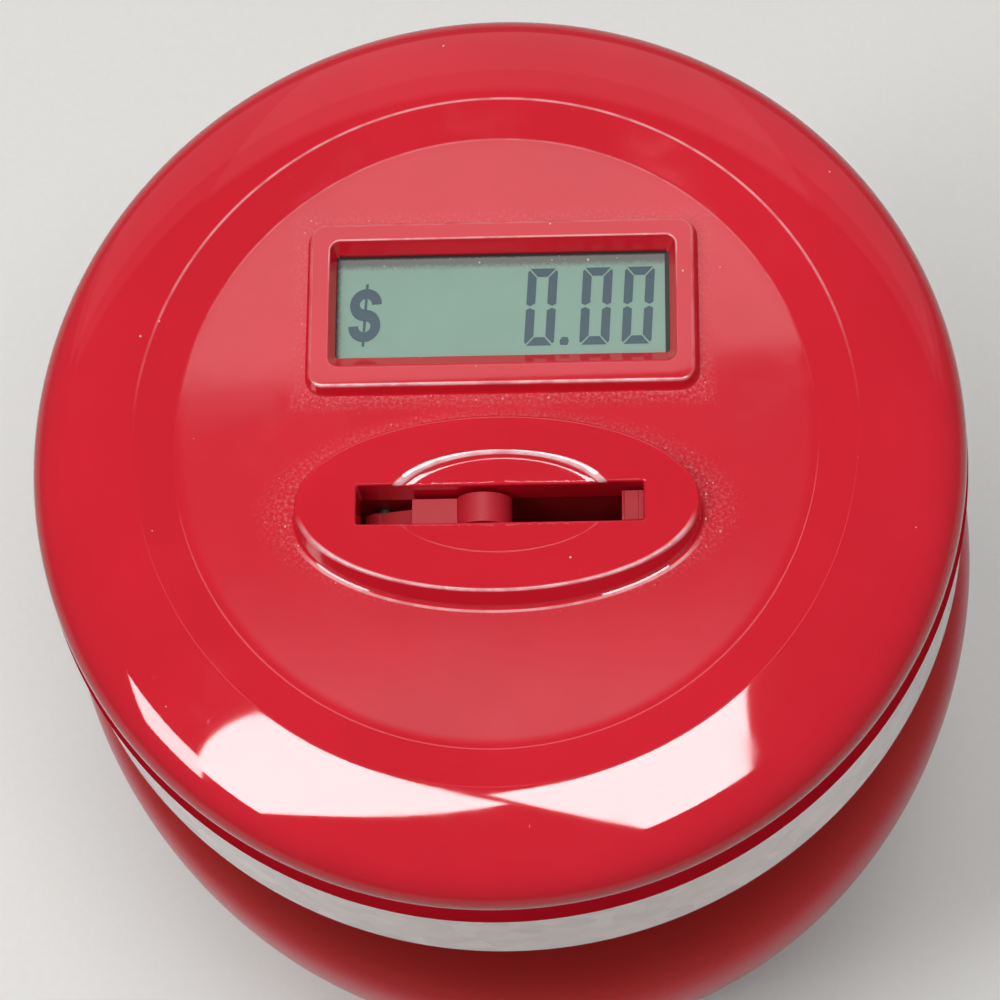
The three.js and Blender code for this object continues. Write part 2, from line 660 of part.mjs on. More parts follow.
// A frame that clamps the glass, with a window in its middle and a slot for the contact strip
function lcdHolder() {
  const foot = BOARD_TOP + FIT;
  const stripFront = ZEBRA_Y - ZEBRA_W / 2 - FIT;
  const [low, high] = [DISPLAY_Y - LCD_W / 2 + HOLDER_RAIL, stripFront - HOLDER_RAIL / 2];
  const halfL = LCD_L / 2 - HOLDER_RAIL;
  return cut(
    join(
      centred(
        DISPLAY_X, DISPLAY_Y, LCD_L + 2 * HOLDER_FLANGE_X, LCD_W + 2 * HOLDER_FLANGE_Y, foot, UNDER_Z - FIT,
      ),
      centred(DISPLAY_X, DISPLAY_Y, LCD_L, LCD_W, foot, LCD_BACK - FIT),
    ),
    block(DISPLAY_X - halfL, DISPLAY_X + halfL, low, high, foot - CUT, LCD_BACK + CUT),
    centred(DISPLAY_X, ZEBRA_Y, ZEBRA_L + 2 * FIT, ZEBRA_W + 2 * FIT, foot - CUT, LCD_BACK + CUT),
  );
}

function zebraStrip() {
  return centred(DISPLAY_X, ZEBRA_Y, ZEBRA_L, ZEBRA_W, BOARD_TOP + FIT, BOARD_TOP + FIT + ZEBRA_H);
}

// The board has an ear that carries the switch, and gives way to the lid's bosses
function circuitBoard() {
  const reach = SWITCH_L / 2 + EAR_MARGIN;
  const ear = block(
    BUTTON_X - reach, BUTTON_X + reach, BUTTON_Y - reach, BOARD_LOW_Y + CUT, BOARD_BACK, BOARD_TOP,
  );
  const holes = boardScrewSpots()
    .map(([x, y]) => upright(x, y, BOARD_BACK - CUT, BOARD_TOP + CUT, BOARD_SCREW_R + FIT, BORE_STEPS));
  const bossRooms = baseScrewSpots()
    .map(([x, y]) => upright(x, y, BOARD_BACK - CUT, BOARD_TOP + CUT, BOSS_R + RUN));
  const plate = centred(DISPLAY_X, BOARD_Y, BOARD_L, BOARD_HIGH_Y - BOARD_LOW_Y, BOARD_BACK, BOARD_TOP);
  return cut(join(plate, ear), ...holes, ...bossRooms);
}

function controllerChip() {
  const drop = quarter(0, 0, CHIP_R, CHIP_T, 3).map(([r, z]) => [r, -z]);
  return turned([[0, 0], ...drop], 20).translate([DISPLAY_X + CHIP_DX, BOARD_Y, BOARD_BACK - FIT]);
}

function crystalCan() {
  const x = DISPLAY_X + CRYSTAL_DX;
  const z = BOARD_BACK - FIT - CRYSTAL_R;
  return alongX(BOARD_Y + CRYSTAL_DY, z, x - CRYSTAL_L / 2, x + CRYSTAL_L / 2, CRYSTAL_R, BORE_STEPS);
}

function resetSwitch() {
  const top = BOARD_BACK - FIT;
  const can = centred(BUTTON_X, BUTTON_Y, SWITCH_L, SWITCH_L, top - SWITCH_H, top);
  return join(can, upright(BUTTON_X, BUTTON_Y, PLUNGER_END, top - SWITCH_H + BITE, PLUNGER_R));
}

function resetButton() {
  const flangeZ = PLATE_TOP + FIT;
  return join(
    upright(BUTTON_X, BUTTON_Y, PLATE_BACK - BUTTON_PROUD, BUTTON_TOP, BUTTON_R),
    upright(BUTTON_X, BUTTON_Y, flangeZ, flangeZ + BUTTON_FLANGE_T, BUTTON_R + BUTTON_FLANGE),
  );
}

function boardScrew([x, y]) {
  return screw(x, y, BOARD_BACK - FIT, BOARD_T + FIT + BOARD_SCREW_GRIP, BOARD_SCREW_R);
}

function baseScrew([x, y]) {
  return screw(x, y, PLATE_BACK - FIT, BASE_SCREW_L, BASE_SCREW_R);
}

// A box that tools cut, or walls grow, round the path of a coin
function coinPath(growX, growY, z0, z1) {
  return block(
    CHUTE_LOW_X - growX, CHUTE_HIGH_X + growX,
    SLOT_Y - CHUTE_HALF_W - growY, SLOT_Y + CHUTE_HALF_W + growY, z0, z1,
  );
}

function coinChute() {
  const [foot, top] = [PLATE_TOP + FIT, UNDER_Z - FIT];
  const tube = coinPath(CHUTE_WALL, CHUTE_WALL, foot, top);
  const flange = coinPath(CHUTE_WALL, CHUTE_WALL + CHUTE_FLANGE, foot, foot + CHUTE_WALL);
  const shaftHole = alongY(LEVER_X, LEVER_Z, CHUTE_FRONT_Y - CUT, CHUTE_BACK_Y + CUT, SHAFT_R + FIT);
  return join(cut(join(tube, flange), coinPath(0, 0, foot - CUT, top + CUT), shaftHole), coinStop(foot, top));
}

// The fixed block at the end of the chute that a coin's edge runs against
function coinStop(foot, top) {
  const [low, high] = [SLOT_HIGH_X - FIT - STOP_BLOCK_L, SLOT_HIGH_X - FIT];
  const halfW = CHUTE_HALF_W + BITE;
  return join(
    block(low, high, LEVER_LOW_Y, LEVER_HIGH_Y, top - CUT, OVAL_TOP - STOP_BLOCK_DROP),
    block(low, CHUTE_HIGH_X + CHUTE_WALL / 2, SLOT_Y - halfW, SLOT_Y + halfW, foot, top),
  );
}

// An arm from the pivot up to a round nose that the coin's edge pushes aside
function coinLever() {
  const top = NOSE_Z + ARM_TOP_RISE;
  const armX = SLOT_LOW_X + ARM_DX;
  const arm = sideways([
    [armX, top], [armX, top - ARM_T],
    [LEVER_X - LEVER_BOSS_R / 2, LEVER_Z + 0.85 * LEVER_BOSS_R],
    [LEVER_X + LEVER_BOSS_R / 2, LEVER_Z - 0.8 * LEVER_BOSS_R],
    [NOSE_X - NOSE_R / 3, NOSE_Z - 0.9 * NOSE_R], [NOSE_X, top],
  ], LEVER_LOW_Y, LEVER_HIGH_Y);
  return cut(
    join(
      arm,
      alongY(NOSE_X, NOSE_Z, LEVER_LOW_Y, LEVER_HIGH_Y, NOSE_R, 24),
      alongY(LEVER_X, LEVER_Z, LEVER_LOW_Y, LEVER_HIGH_Y, LEVER_BOSS_R),
    ),
    alongY(LEVER_X, LEVER_Z, LEVER_LOW_Y - CUT, LEVER_HIGH_Y + CUT, SHAFT_R + FIT),
  );
}

function leverShaft() {
  return alongY(LEVER_X, LEVER_Z, SPRING_START_Y - RUN, WIPER_Y + WIPER_T + FIT, SHAFT_R, BORE_STEPS);
}

function leverSpring() {
  const radius = SHAFT_R + FIT + 1.5 * SPRING_WIRE_R;
  const curve = new Winding({
    start: new THREE.Vector3(LEVER_X, SPRING_START_Y, LEVER_Z), along: 'y',
    length: SPRING_TURNS * SPRING_PITCH, from: radius, to: radius, turns: SPRING_TURNS,
  });
  return wire(curve, SPRING_WIRE_R, SPRING_TURNS * COIL_STEPS);
}

function sensorBoard() {
  const top = UNDER_Z - 2 * FIT;
  const plate = block(
    SENSOR_LOW_X, SENSOR_LOW_X + SENSOR_L, SENSOR_Y, SENSOR_BACK_Y, top - SENSOR_H, top,
  );
  return cut(plate, alongY(LEVER_X, LEVER_Z, SENSOR_Y - CUT, SENSOR_BACK_Y + CUT, SHAFT_R + RUN));
}

function wiper() {
  const end = WIPER_Y + WIPER_T;
  return cut(
    alongY(LEVER_X, LEVER_Z, WIPER_Y, end, WIPER_R, 20),
    alongY(LEVER_X, LEVER_Z, WIPER_Y - CUT, end + CUT, SHAFT_R + FIT),
  );
}

// A flat cable from the sensor board's free end to the edge of the circuit board
function sensorCable() {
  const high = SENSOR_LOW_X + SENSOR_L - FIT;
  const z = (BOARD_TOP + BOARD_BACK) / 2;
  return block(
    high - CABLE_W, high, SENSOR_BACK_Y + FIT, BOARD_LOW_Y - FIT, z - CABLE_T / 2, z + CABLE_T / 2,
  );
}

// A cell lies along X with its nub at the high end, or at the low end when way is -1
function cell(y, way) {
  const high = BAY_HALF_L - CONTACT_T - 2 * FIT;
  const shoulder = high - CELL_NUB_L;
  return join(
    alongX(y, CELL_Z, way * (high - CELL_L), way * shoulder, CELL_R, 20),
    alongX(y, CELL_Z, way * (shoulder - BITE), way * high, CELL_NUB_R, BORE_STEPS),
  );
}

function contactPlate(way, y0, y1) {
  const outer = BAY_HALF_L - FIT;
  return block(
    way * (outer - CONTACT_T), way * outer, y0 - CONTACT_W / 2, y1 + CONTACT_W / 2,
    CELL_Z - CONTACT_W / 2, CELL_Z + CONTACT_W / 2,
  );
}

function contactTab(y) {
  const inner = BAY_HALF_L - FIT - CONTACT_T;
  const outer = BAY_HALF_L + BAY_WALL + TAB_REACH;
  return block(inner, outer, y - TAB_W / 2, y + TAB_W / 2, TAB_TOP - CONTACT_T, TAB_TOP);
}

// The coil starts inside its plate and narrows towards the cell
function contactCoil(way, y) {
  const curve = new Winding({
    start: new THREE.Vector3(way * (BAY_HALF_L - FIT - CONTACT_T / 2), y, CELL_Z), along: 'x',
    length: -way * (COIL_ROOM + CONTACT_T / 2 - SPRING_WIRE_R),
    from: COIL_FOOT_R, to: COIL_TIP_R, turns: COIL_TURNS,
  });
  return wire(curve, SPRING_WIRE_R, COIL_TURNS * COIL_STEPS);
}

function positiveContact(y) {
  return join(contactPlate(1, y, y), contactTab(y));
}

function negativeContact(y) {
  return join(contactPlate(1, y, y), contactTab(y), contactCoil(1, y));
}

function bridgeContact([y0, y1]) {
  return join(contactPlate(-1, y0, y1), contactCoil(-1, y0));
}

// A wire from a solder tab up to the circuit board
function batteryWire(y) {
  const x = BAY_HALF_L + BAY_WALL + TAB_REACH / 2;
  const route = new THREE.CatmullRomCurve3([
    new THREE.Vector3(x, y, TAB_TOP + FIT), new THREE.Vector3(x, y, TAB_TOP + 2),
    new THREE.Vector3(x + 0.8, y, (TAB_TOP + BOARD_BACK) / 2),
    new THREE.Vector3(x, y, BOARD_BACK - 2), new THREE.Vector3(x, y, BOARD_BACK - FIT),
  ]);
  return wire(route, BATTERY_WIRE_R, 8, 8);
}

// The inside of the battery bay, made larger or smaller in plan
function bayBlock(grow, z0, z1) {
  return centred(0, BAY_Y, 2 * (BAY_HALF_L + grow), 2 * (BAY_HALF_W + grow), z0, z1);
}

function lidBase() {
  const plate = turned([
    [0, PLATE_BACK], [COLLAR_R - PLATE_CHAMFER, PLATE_BACK], [COLLAR_R, PLATE_BACK + PLATE_CHAMFER],
    [COLLAR_R, PLATE_TOP], [0, PLATE_TOP],
  ]);
  const ears = [-1, 1].map((side) => block(
    side * EAR_FROM, side * EAR_TO, HINGE_Y - EAR_R, HINGE_Y + EAR_R, PLATE_BACK - EAR_R, PLATE_BACK + BITE,
  ));
  const screwHoles = baseScrewSpots()
    .map(([x, y]) => upright(x, y, PLATE_BACK - CUT, PLATE_TOP + CUT, BASE_SCREW_R + FIT, BORE_STEPS));
  return cut(
    join(plate, bayBlock(BAY_WALL, PLATE_TOP - BITE, BAY_TOP), ...ears),
    bayBlock(0, PLATE_BACK - CUT, BAY_TOP - BAY_WALL),
    bayBlock(DOOR_LEDGE, PLATE_BACK - CUT - EAR_R, DOOR_TOP + FIT),
    knuckleRoom(),
    thumbNotch(),
    coinPath(0, 0, PLATE_BACK - CUT, PLATE_TOP + CUT),
    ...CELL_YS.map(tabSlit),
    ...screwHoles,
    alongX(HINGE_Y, PLATE_BACK, -EAR_TO - CUT, EAR_TO + CUT, DOOR_PIN_R + FIT, BORE_STEPS),
    upright(BUTTON_X, BUTTON_Y, PLATE_BACK - CUT, PLATE_TOP + CUT, BUTTON_R + RUN),
  );
}

function knuckleRoom() {
  return block(
    -EAR_FROM, EAR_FROM, HINGE_Y - KNUCKLE_R - 2 * DOOR_GAP, HINGE_Y + KNUCKLE_R + DOOR_GAP,
    PLATE_BACK - CUT, PLATE_BACK + KNUCKLE_R + DOOR_GAP,
  );
}

function thumbNotch() {
  const edge = BAY_Y - BAY_HALF_W;
  return block(
    -NOTCH_L / 2, NOTCH_L / 2, edge - DOOR_LEDGE - NOTCH_W, edge, PLATE_BACK - CUT, PLATE_BACK + NOTCH_DEPTH,
  );
}

function tabSlit(y) {
  const halfW = TAB_W / 2 + FIT;
  return block(
    BAY_HALF_L - CUT, BAY_HALF_L + BAY_WALL + CUT, y - halfW, y + halfW,
    TAB_TOP - CONTACT_T - FIT, TAB_TOP + FIT,
  );
}

function batteryDoor() {
  const half = KNUCKLE_L / 2;
  const leaf = join(
    bayBlock(DOOR_LEDGE - DOOR_GAP, PLATE_BACK, DOOR_TOP),
    block(-half, half, DOOR_EDGE_Y - BITE, HINGE_Y, PLATE_BACK, PLATE_BACK + STRAP_T),
    alongX(HINGE_Y, PLATE_BACK, -half, half, KNUCKLE_R),
  );
  const earRooms = [-1, 1].map((side) => block(
    side * half, side * (EAR_TO + DOOR_GAP), HINGE_Y - 3 * EAR_R, HINGE_Y + 2 * EAR_R,
    PLATE_BACK - CUT, DOOR_TOP + CUT,
  ));
  return cut(
    leaf, ...earRooms,
    alongX(HINGE_Y, PLATE_BACK, -half - CUT, half + CUT, DOOR_PIN_R + FIT, BORE_STEPS),
  );
}

function doorPin() {
  return alongX(HINGE_Y, PLATE_BACK, FIT - EAR_TO, EAR_TO - FIT, DOOR_PIN_R, BORE_STEPS);
}

const jar = new THREE.Group();
jar.add(mesh('jar_body', jarBody(), deepRed), mesh('trim_band', trimBand(), bright));

const lid = new THREE.Group();
lid.position.z = LID_PLANE_Z;
lid.add(
  mesh('seal_ring', sealRing(), rubber),
  mesh('lid_shell', lidShell(), red),
  mesh('display_bezel', displayBezel(), red),
  mesh('slot_bezel', slotBezel(), red),
  mesh('lcd_glass', lcdGlass(), liquidCrystal),
  mesh('lcd_holder', lcdHolder(), black),
  mesh('zebra_strip', zebraStrip(), rubber),
  mesh('circuit_board', circuitBoard(), board),
  mesh('controller_chip', controllerChip(), black),
  mesh('crystal_can', crystalCan(), bright),
  mesh('reset_switch', resetSwitch(), black),
  mesh('coin_chute', coinChute(), red),
  mesh('coin_lever', coinLever(), red),
  mesh('lever_shaft', leverShaft(), steel),
  mesh('lever_spring', leverSpring(), steel),
  mesh('wiper', wiper(), black),
  mesh('sensor_board', sensorBoard(), board),
  mesh('sensor_cable', sensorCable(), steel),
  mesh('lid_base', lidBase(), red),
  mesh('battery_1', cell(CELL_YS[0], 1), cellJacket),
  mesh('battery_2', cell(CELL_YS[1], -1), cellJacket),
  mesh('positive_contact', positiveContact(CELL_YS[0]), brass),
  mesh('negative_contact', negativeContact(CELL_YS[1]), brass),
  mesh('bridge_contact', bridgeContact(CELL_YS), brass),
  mesh('positive_wire', batteryWire(CELL_YS[0]), red),
  mesh('negative_wire', batteryWire(CELL_YS[1]), black),
  mesh('battery_door', batteryDoor(), red),
  mesh('door_pin', doorPin(), steel),
  mesh('reset_button', resetButton(), black),
  ...boardScrewSpots().map((spot, i) => mesh(`board_screw_${i + 1}`, boardScrew(spot), steel)),
  ...baseScrewSpots().map((spot, i) => mesh(`base_screw_${i + 1}`, baseScrew(spot), steel)),
);

const bank = new THREE.Group();
bank.add(jar, lid);
export default bank;
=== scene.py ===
# %% [markdown]
# # A coin counter bank
# A pot-bellied jar with a bright band and a glossy lid. The lid has a coin slot, a small display and, inside,
# the works that count. This lesson dresses the CAD model of the bank: each visible piece is worked out again
# as a finer surface with numpy, and each finish is a tree of shader nodes.
#
# The CAD model comes first, because it fixes every size. Blender never moves or resizes it.

# %% Load the CAD model
import json
import math

import bmesh
import bpy
import numpy as np
from mathutils import Matrix, Vector


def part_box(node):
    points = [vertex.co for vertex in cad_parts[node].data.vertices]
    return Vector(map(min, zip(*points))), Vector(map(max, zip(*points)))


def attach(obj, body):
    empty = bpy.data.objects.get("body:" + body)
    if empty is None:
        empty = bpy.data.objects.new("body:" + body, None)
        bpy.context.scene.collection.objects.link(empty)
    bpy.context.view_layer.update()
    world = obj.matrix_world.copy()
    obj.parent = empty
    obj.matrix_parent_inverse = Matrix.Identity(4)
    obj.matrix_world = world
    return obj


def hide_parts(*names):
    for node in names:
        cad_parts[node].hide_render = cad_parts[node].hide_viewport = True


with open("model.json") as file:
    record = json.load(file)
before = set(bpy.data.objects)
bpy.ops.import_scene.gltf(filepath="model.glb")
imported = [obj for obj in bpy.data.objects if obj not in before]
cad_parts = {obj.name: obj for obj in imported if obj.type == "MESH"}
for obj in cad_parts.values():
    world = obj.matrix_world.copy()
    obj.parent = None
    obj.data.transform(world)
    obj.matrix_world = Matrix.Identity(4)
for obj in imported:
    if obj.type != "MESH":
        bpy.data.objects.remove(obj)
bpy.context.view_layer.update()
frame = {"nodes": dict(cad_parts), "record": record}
SLOTS = {part["node"]: part["material_slot"] for part in frame["record"]["subparts"]}
BODIES = {node: body for body, nodes in frame["record"]["behaviour"]["bodies"].items() for node in nodes}

# %% [markdown]
# ## Sizes
# Everything below is in millimetres until a mesh is made. The CAD boxes give the main sizes, so the fine
# pieces follow the model if it changes. The rest are small offsets: how round an edge is, or how deep a
# hollow. Heights in the lid count from the plane of its dish, the shallow round hollow of its top: the model
# has a crest of CREST over that plane, which the photograph doesn't show. OVAL_LEAN is how much further
# towards the reader the foot of the oval stands than its top.

# %% Sizes taken from the CAD boxes
MM = 0.001
CREST = 1.2
RIM_WIDTH, SLOPE_WIDTH = 12.9, 4.7
OVAL_LEAN = np.array([0, 0.75, 0])


def box_mm(node):
    """Lowest and highest corner of a CAD node, in millimetres."""
    return [np.array(corner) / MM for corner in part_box(node)]


def centre_of(box):
    return (box[0] + box[1]) / 2


JAR, BAND, LID, SEAL = (box_mm(n) for n in ("jar_body", "trim_band", "lid_shell", "seal_ring"))
FRAME_BOX, OVAL_BOX, GLASS = (box_mm(n) for n in ("display_bezel", "slot_bezel", "lcd_glass"))
PLANE = LID[1][2] - CREST
LID_R = LID[1][0]
SHOULDER_R, SHOULDER_Z = LID_R - 0.5, PLANE - 6.5
DISH_R = SHOULDER_R - RIM_WIDTH
DISH_FLOOR_R = DISH_R - SLOPE_WIDTH
EDGE_Z, DISH_Z = PLANE - 0.2, PLANE - 1.0
frame_centre, oval_centre = centre_of(FRAME_BOX), centre_of(OVAL_BOX)
frame_size = (FRAME_BOX[1] - FRAME_BOX[0])[:2]
oval_a, oval_b = (OVAL_BOX[1] - OVAL_BOX[0])[:2] / 2
print("lid", round(LID_R, 2), "dish", round(DISH_R, 2), "its edge lies at", round(EDGE_Z, 2))

# %% [markdown]
# ## The camera
# The photograph looks down on the lid from its front, about 20 degrees off the vertical. The lens and the
# place of the camera come from fitting the lid's circles, the display and the slot to one perspective. The
# fit gives three turns, in radians, and where the middle of the dish's plane lies as the camera sees it.

# %% Camera
LENS, SHIFT_X, SHIFT_Y = 126.607, -0.01305, -0.01029
TURN_X, TURN_Y, TURN_Z = -0.32036, -0.06268, -0.00306
LID_SEEN_AT = Vector((-2.30685, 6.77008, -411.77165))
camera_data = bpy.data.cameras.new("camera")
camera_data.sensor_fit, camera_data.sensor_width, camera_data.sensor_height = "AUTO", 36, 36
camera_data.lens = LENS
camera_data.shift_x, camera_data.shift_y = SHIFT_X, SHIFT_Y
camera_data.clip_start, camera_data.clip_end = 0.01, 20
camera = bpy.data.objects.new("camera", camera_data)
bpy.context.collection.objects.link(camera)
turn = Matrix.Rotation(TURN_X, 3, "X") @ Matrix.Rotation(TURN_Y, 3, "Y") @ Matrix.Rotation(TURN_Z, 3, "Z")
place = turn.transposed() @ -(LID_SEEN_AT * MM) + Vector((0, 0, PLANE * MM))
camera.matrix_world = Matrix.Translation(place) @ turn.transposed().to_4x4()
bpy.context.scene.camera = camera
bpy.context.scene.view_settings.view_transform = "Standard"
print("camera at", [round(c, 3) for c in place])

# %% [markdown]
# ## Shader maths as Python
# A node tree is arithmetic drawn as boxes. The class below wraps the output of a node, so `0.2 + mask * 0.5`
# adds the Math nodes for it. The second class holds one material and has a single method that adds any other
# node: its type, its settings, and the values or links of its sockets.

# %% A socket with operators
class Signal:
    """A node's output. Python's operators on it add Math nodes. A sum or product may start with a number."""

    def __init__(self, finish, socket):
        self.finish, self.socket = finish, socket

    def maths(self, operation, *values):
        return self.finish.node("Math", {"operation": operation}, dict(enumerate(values)))

    def __add__(self, other): return self.maths("ADD", self, other)
    def __radd__(self, other): return self.maths("ADD", other, self)
    def __sub__(self, other): return self.maths("SUBTRACT", self, other)
    def __mul__(self, other): return self.maths("MULTIPLY", self, other)
    def __rmul__(self, other): return self.maths("MULTIPLY", other, self)
    def __truediv__(self, other): return self.maths("DIVIDE", self, other)
    def __pow__(self, other): return self.maths("POWER", self, other)
    def __abs__(self): return self.maths("ABSOLUTE", self)
    def __gt__(self, other): return self.maths("GREATER_THAN", self, other)
    def __lt__(self, other): return self.maths("LESS_THAN", self, other)


# %% A material that builds itself
class Finish:
    """A material whose Principled shader is fed by nodes. Lengths in its patterns are millimetres."""

    def __init__(self, name, colour, roughness, **constants):
        self.material = bpy.data.materials.new(name)
        self.material.use_nodes = True
        self.material.diffuse_color = (*colour, 1)
        self.tree = self.material.node_tree
        self.shader = self.tree.nodes["Principled BSDF"]
        self.set(Base_Color=(*colour, 1), Roughness=roughness, **constants)

    def set(self, **values):
        for key, value in values.items():
            self.put(self.shader.inputs[key.replace("_", " ")], value)

    def put(self, socket, value):
        if isinstance(value, Signal):
            self.tree.links.new(value.socket, socket)
        else:
            socket.default_value = value

    def node(self, kind, settings=None, values=None, output=0):
        """Adds a node: its settings first, then the values or links of its sockets."""
        node = self.tree.nodes.new("ShaderNode" + kind)
        for key, value in (settings or {}).items():
            setattr(node, key, value)
        for key, value in (values or {}).items():
            self.put(node.inputs[key], value)
        return Signal(self, node.outputs[output])

    def place(self, scale=(1, 1, 1), turn=(0, 0, 0), centre=(0, 0, 0)):
        """Object coordinates in millimetres, measured from a centre, then turned and stretched."""
        values = {"Vector": self.node("TexCoord", output="Object"), "Scale": (1 / MM,) * 3,
                  "Location": [-c for c in centre]}
        moved = self.node("Mapping", None, values)
        return self.node("Mapping", None, {"Vector": moved, "Rotation": turn, "Scale": scale})

    def axes(self, vector):
        """The three numbers of a vector."""
        parts = self.node("SeparateXYZ", None, {0: vector}).socket.node
        return [Signal(self, parts.outputs[i]) for i in range(3)]

    def noise(self, vector, scale, detail=3, roughness=0.5):
        values = {"Vector": vector, "Scale": scale, "Detail": detail, "Roughness": roughness}
        return self.node("TexNoise", None, values)

    def cells(self, vector, per_mm):
        """A Voronoi pattern: how far a point lies from its cell's middle, and three numbers drawn for it."""
        values = {"Vector": vector, "Scale": per_mm}
        distance = self.node("TexVoronoi", {"feature": "F1"}, values, output="Distance")
        return distance, self.axes(Signal(self, distance.socket.node.outputs["Color"]))

    def clamp(self, value):
        """Keeps a number between 0 and 1."""
        return self.node("Clamp", None, {0: value})

    def larger(self, first, second):
        return self.node("Math", {"operation": "MAXIMUM"}, {0: first, 1: second})

    def fade(self, value, low, high, to=(0, 1)):
        """Nothing below low, all of it above high, smooth between."""
        values = {0: value, 1: low, 2: high, 3: to[0], 4: to[1]}
        return self.node("MapRange", {"interpolation_type": "SMOOTHSTEP"}, values)

    def mix(self, share, first, second):
        """A colour that goes from the first to the second as the share goes from 0 to 1."""
        colours = [(*c, 1) if isinstance(c, tuple) and len(c) == 3 else c for c in (first, second)]
        return self.node("Mix", {"data_type": "RGBA"}, {0: share, 6: colours[0], 7: colours[1]}, output=2)

    def bump(self, height, strength=1.0):
        """Turns a height in millimetres into a tilt of the surface."""
        return self.node("Bump", None, {"Height": height, "Distance": MM, "Strength": strength})


# %% [markdown]
# ## Floor and light
# The bank stands on a pale counter. Two level panels over its front, the windows, light it and are what the
# glossy rim mirrors as white patches. Each has a twin that shows only in reflections, so that a patch can be
# white while a colour still renders about as it is written. The twin hangs a little higher, because of two
# lamps in one plane a mirrored ray meets only the first. A third mirrored panel, far to the left, lengthens
# the left-hand patch. A dim ceiling panel is the pale zone on the dish. The far wall is three overlapping dim
# panels, so that its mirror image on the rear of the rim fades out in steps.

# %% Floor
def placed(name, mesh):
    """Makes a mesh an object of the scene."""
    piece = bpy.data.objects.new(name, mesh)
    bpy.context.collection.objects.link(piece)
    return piece


def flat_plate(name, size, z):
    """A square in metres, at one height."""
    corners = np.array([[-1, -1], [1, -1], [1, 1], [-1, 1]]) * size / 2
    mesh = bpy.data.meshes.new(name)
    mesh.from_pydata([(x, y, z) for x, y in corners], [], [(0, 1, 2, 3)])
    return placed(name, mesh)


counter = Finish("counter", (0.79, 0.78, 0.75), 0.5, Specular_IOR_Level=0.3)
grain = counter.noise(counter.place(), 0.8, 5, 0.7)
counter.set(Base_Color=counter.mix(grain, (0.76, 0.75, 0.72), (0.82, 0.81, 0.78)))
floor = flat_plate("floor", 4.0, 0.0)
floor.data.materials.append(counter.material)


# %% Lamps and world
WINDOW_Z, TWIN_Z = 1.34, 1.36
WINDOW_LIGHT, TWIN_LIGHT = 9.2, 20.0
# Name, place, size and turn of the windows; place, width and brightness of the far wall's panels.
WINDOWS = [("window_left", (-0.575, -0.285), (1.12, 0.28), 42),
           ("window_right", (0.195, -0.148), (0.62, 0.266), -57)]
FAR_WALL = [((-0.05, 1.16, 0.86), 1.0, 0.25), ((0.1, 1.20, 0.86), 3.2, 0.2), ((0.2, 1.45, 0.86), 4.4, 0.2)]


def panel(name, centre, size, turn, strength, tilt=0, lights=True, mirrored=True):
    """A rectangular lamp. It looks down, then is tilted about X and turned about Z. strength is its own
    brightness, where 1 is a white wall in this light. It can light things, be mirrored in them, or both."""
    light = bpy.data.lights.new(name, "AREA")
    light.shape, light.size, light.size_y = "RECTANGLE", *size
    light.energy = strength * math.pi * size[0] * size[1]
    lamp = bpy.data.objects.new(name, light)
    lamp.location = centre
    lamp.rotation_euler = math.radians(tilt), 0, math.radians(turn)
    lamp.visible_diffuse, lamp.visible_glossy = lights, mirrored
    bpy.context.collection.objects.link(lamp)


for name, at, size, turn_by in WINDOWS:
    panel(name, (*at, WINDOW_Z), size, turn_by, WINDOW_LIGHT, mirrored=False)
    panel(name + "_mirrored", (*at, TWIN_Z), size, turn_by, TWIN_LIGHT, lights=False)
panel("window_far_left_mirrored", (-1.22, -0.47, TWIN_Z), (0.62, 0.36), 41, 17.0, lights=False)
panel("ceiling", (-0.08, 0.528, WINDOW_Z), (0.345, 0.150), 3.5, 1.9)
panel("back_wall", (0.0, 1.1, 1.0), (2.4, 0.74), 0, 0.75, tilt=-57, mirrored=False)
for number, (at, width, strength) in enumerate(FAR_WALL):
    panel(f"back_wall_mirrored_{number}", at, (width, 1.1), 0, strength, tilt=-60, lights=False)

world = bpy.data.worlds.new("room")
world.use_nodes = True
bpy.context.scene.world = world
sky = world.node_tree.nodes["Background"].inputs
sky["Color"].default_value, sky["Strength"].default_value = (0.96, 0.97, 1.0, 1), 0.25

# %% [markdown]
# ## Surfaces from arrays
# A turned piece is an outline carried round an axis. A moulded frame is a row of outlines, one above the
# other. Both are grids of points, worked out as whole arrays, so one helper can join the points into faces.

# %% From a grid of points to a mesh
SHARP = 35


def surface(name, points, closed, material=None):
    """Joins each point of a grid to its neighbours. closed says whether the last row meets the first, and the
    last column the first. Doubled points at poles and corners are merged."""
    rows, columns = points.shape[:2]
    i = np.arange(rows if closed[0] else rows - 1)[:, None]
    j = np.arange(columns if closed[1] else columns - 1)[None, :]
    down, right = (i + 1) % rows, (j + 1) % columns
    faces = np.stack([i * columns + j, i * columns + right, down * columns + right, down * columns + j], -1)
    mesh = bpy.data.meshes.new(name)
    mesh.from_pydata((points.reshape(-1, 3) * MM).tolist(), [], faces.reshape(-1, 4).tolist())
    return finished(name, mesh, material)


def edited(mesh, change):
    """Opens a mesh for the operators of bmesh, runs one change on it and writes it back."""
    work = bmesh.new()
    work.from_mesh(mesh)
    change(work)
    work.to_mesh(mesh)
    work.free()


def merged(work):
    bmesh.ops.remove_doubles(work, verts=work.verts, dist=2e-6)
    bmesh.ops.dissolve_degenerate(work, edges=work.edges, dist=1e-7)
    bmesh.ops.recalc_face_normals(work, faces=work.faces)


def finished(name, mesh, material=None):
    """Merges doubles, turns faces outwards, smooths all but sharp edges, and makes the object."""
    edited(mesh, merged)
    smooth(mesh)
    if material:
        mesh.materials.append(material)
    return placed(name, mesh)


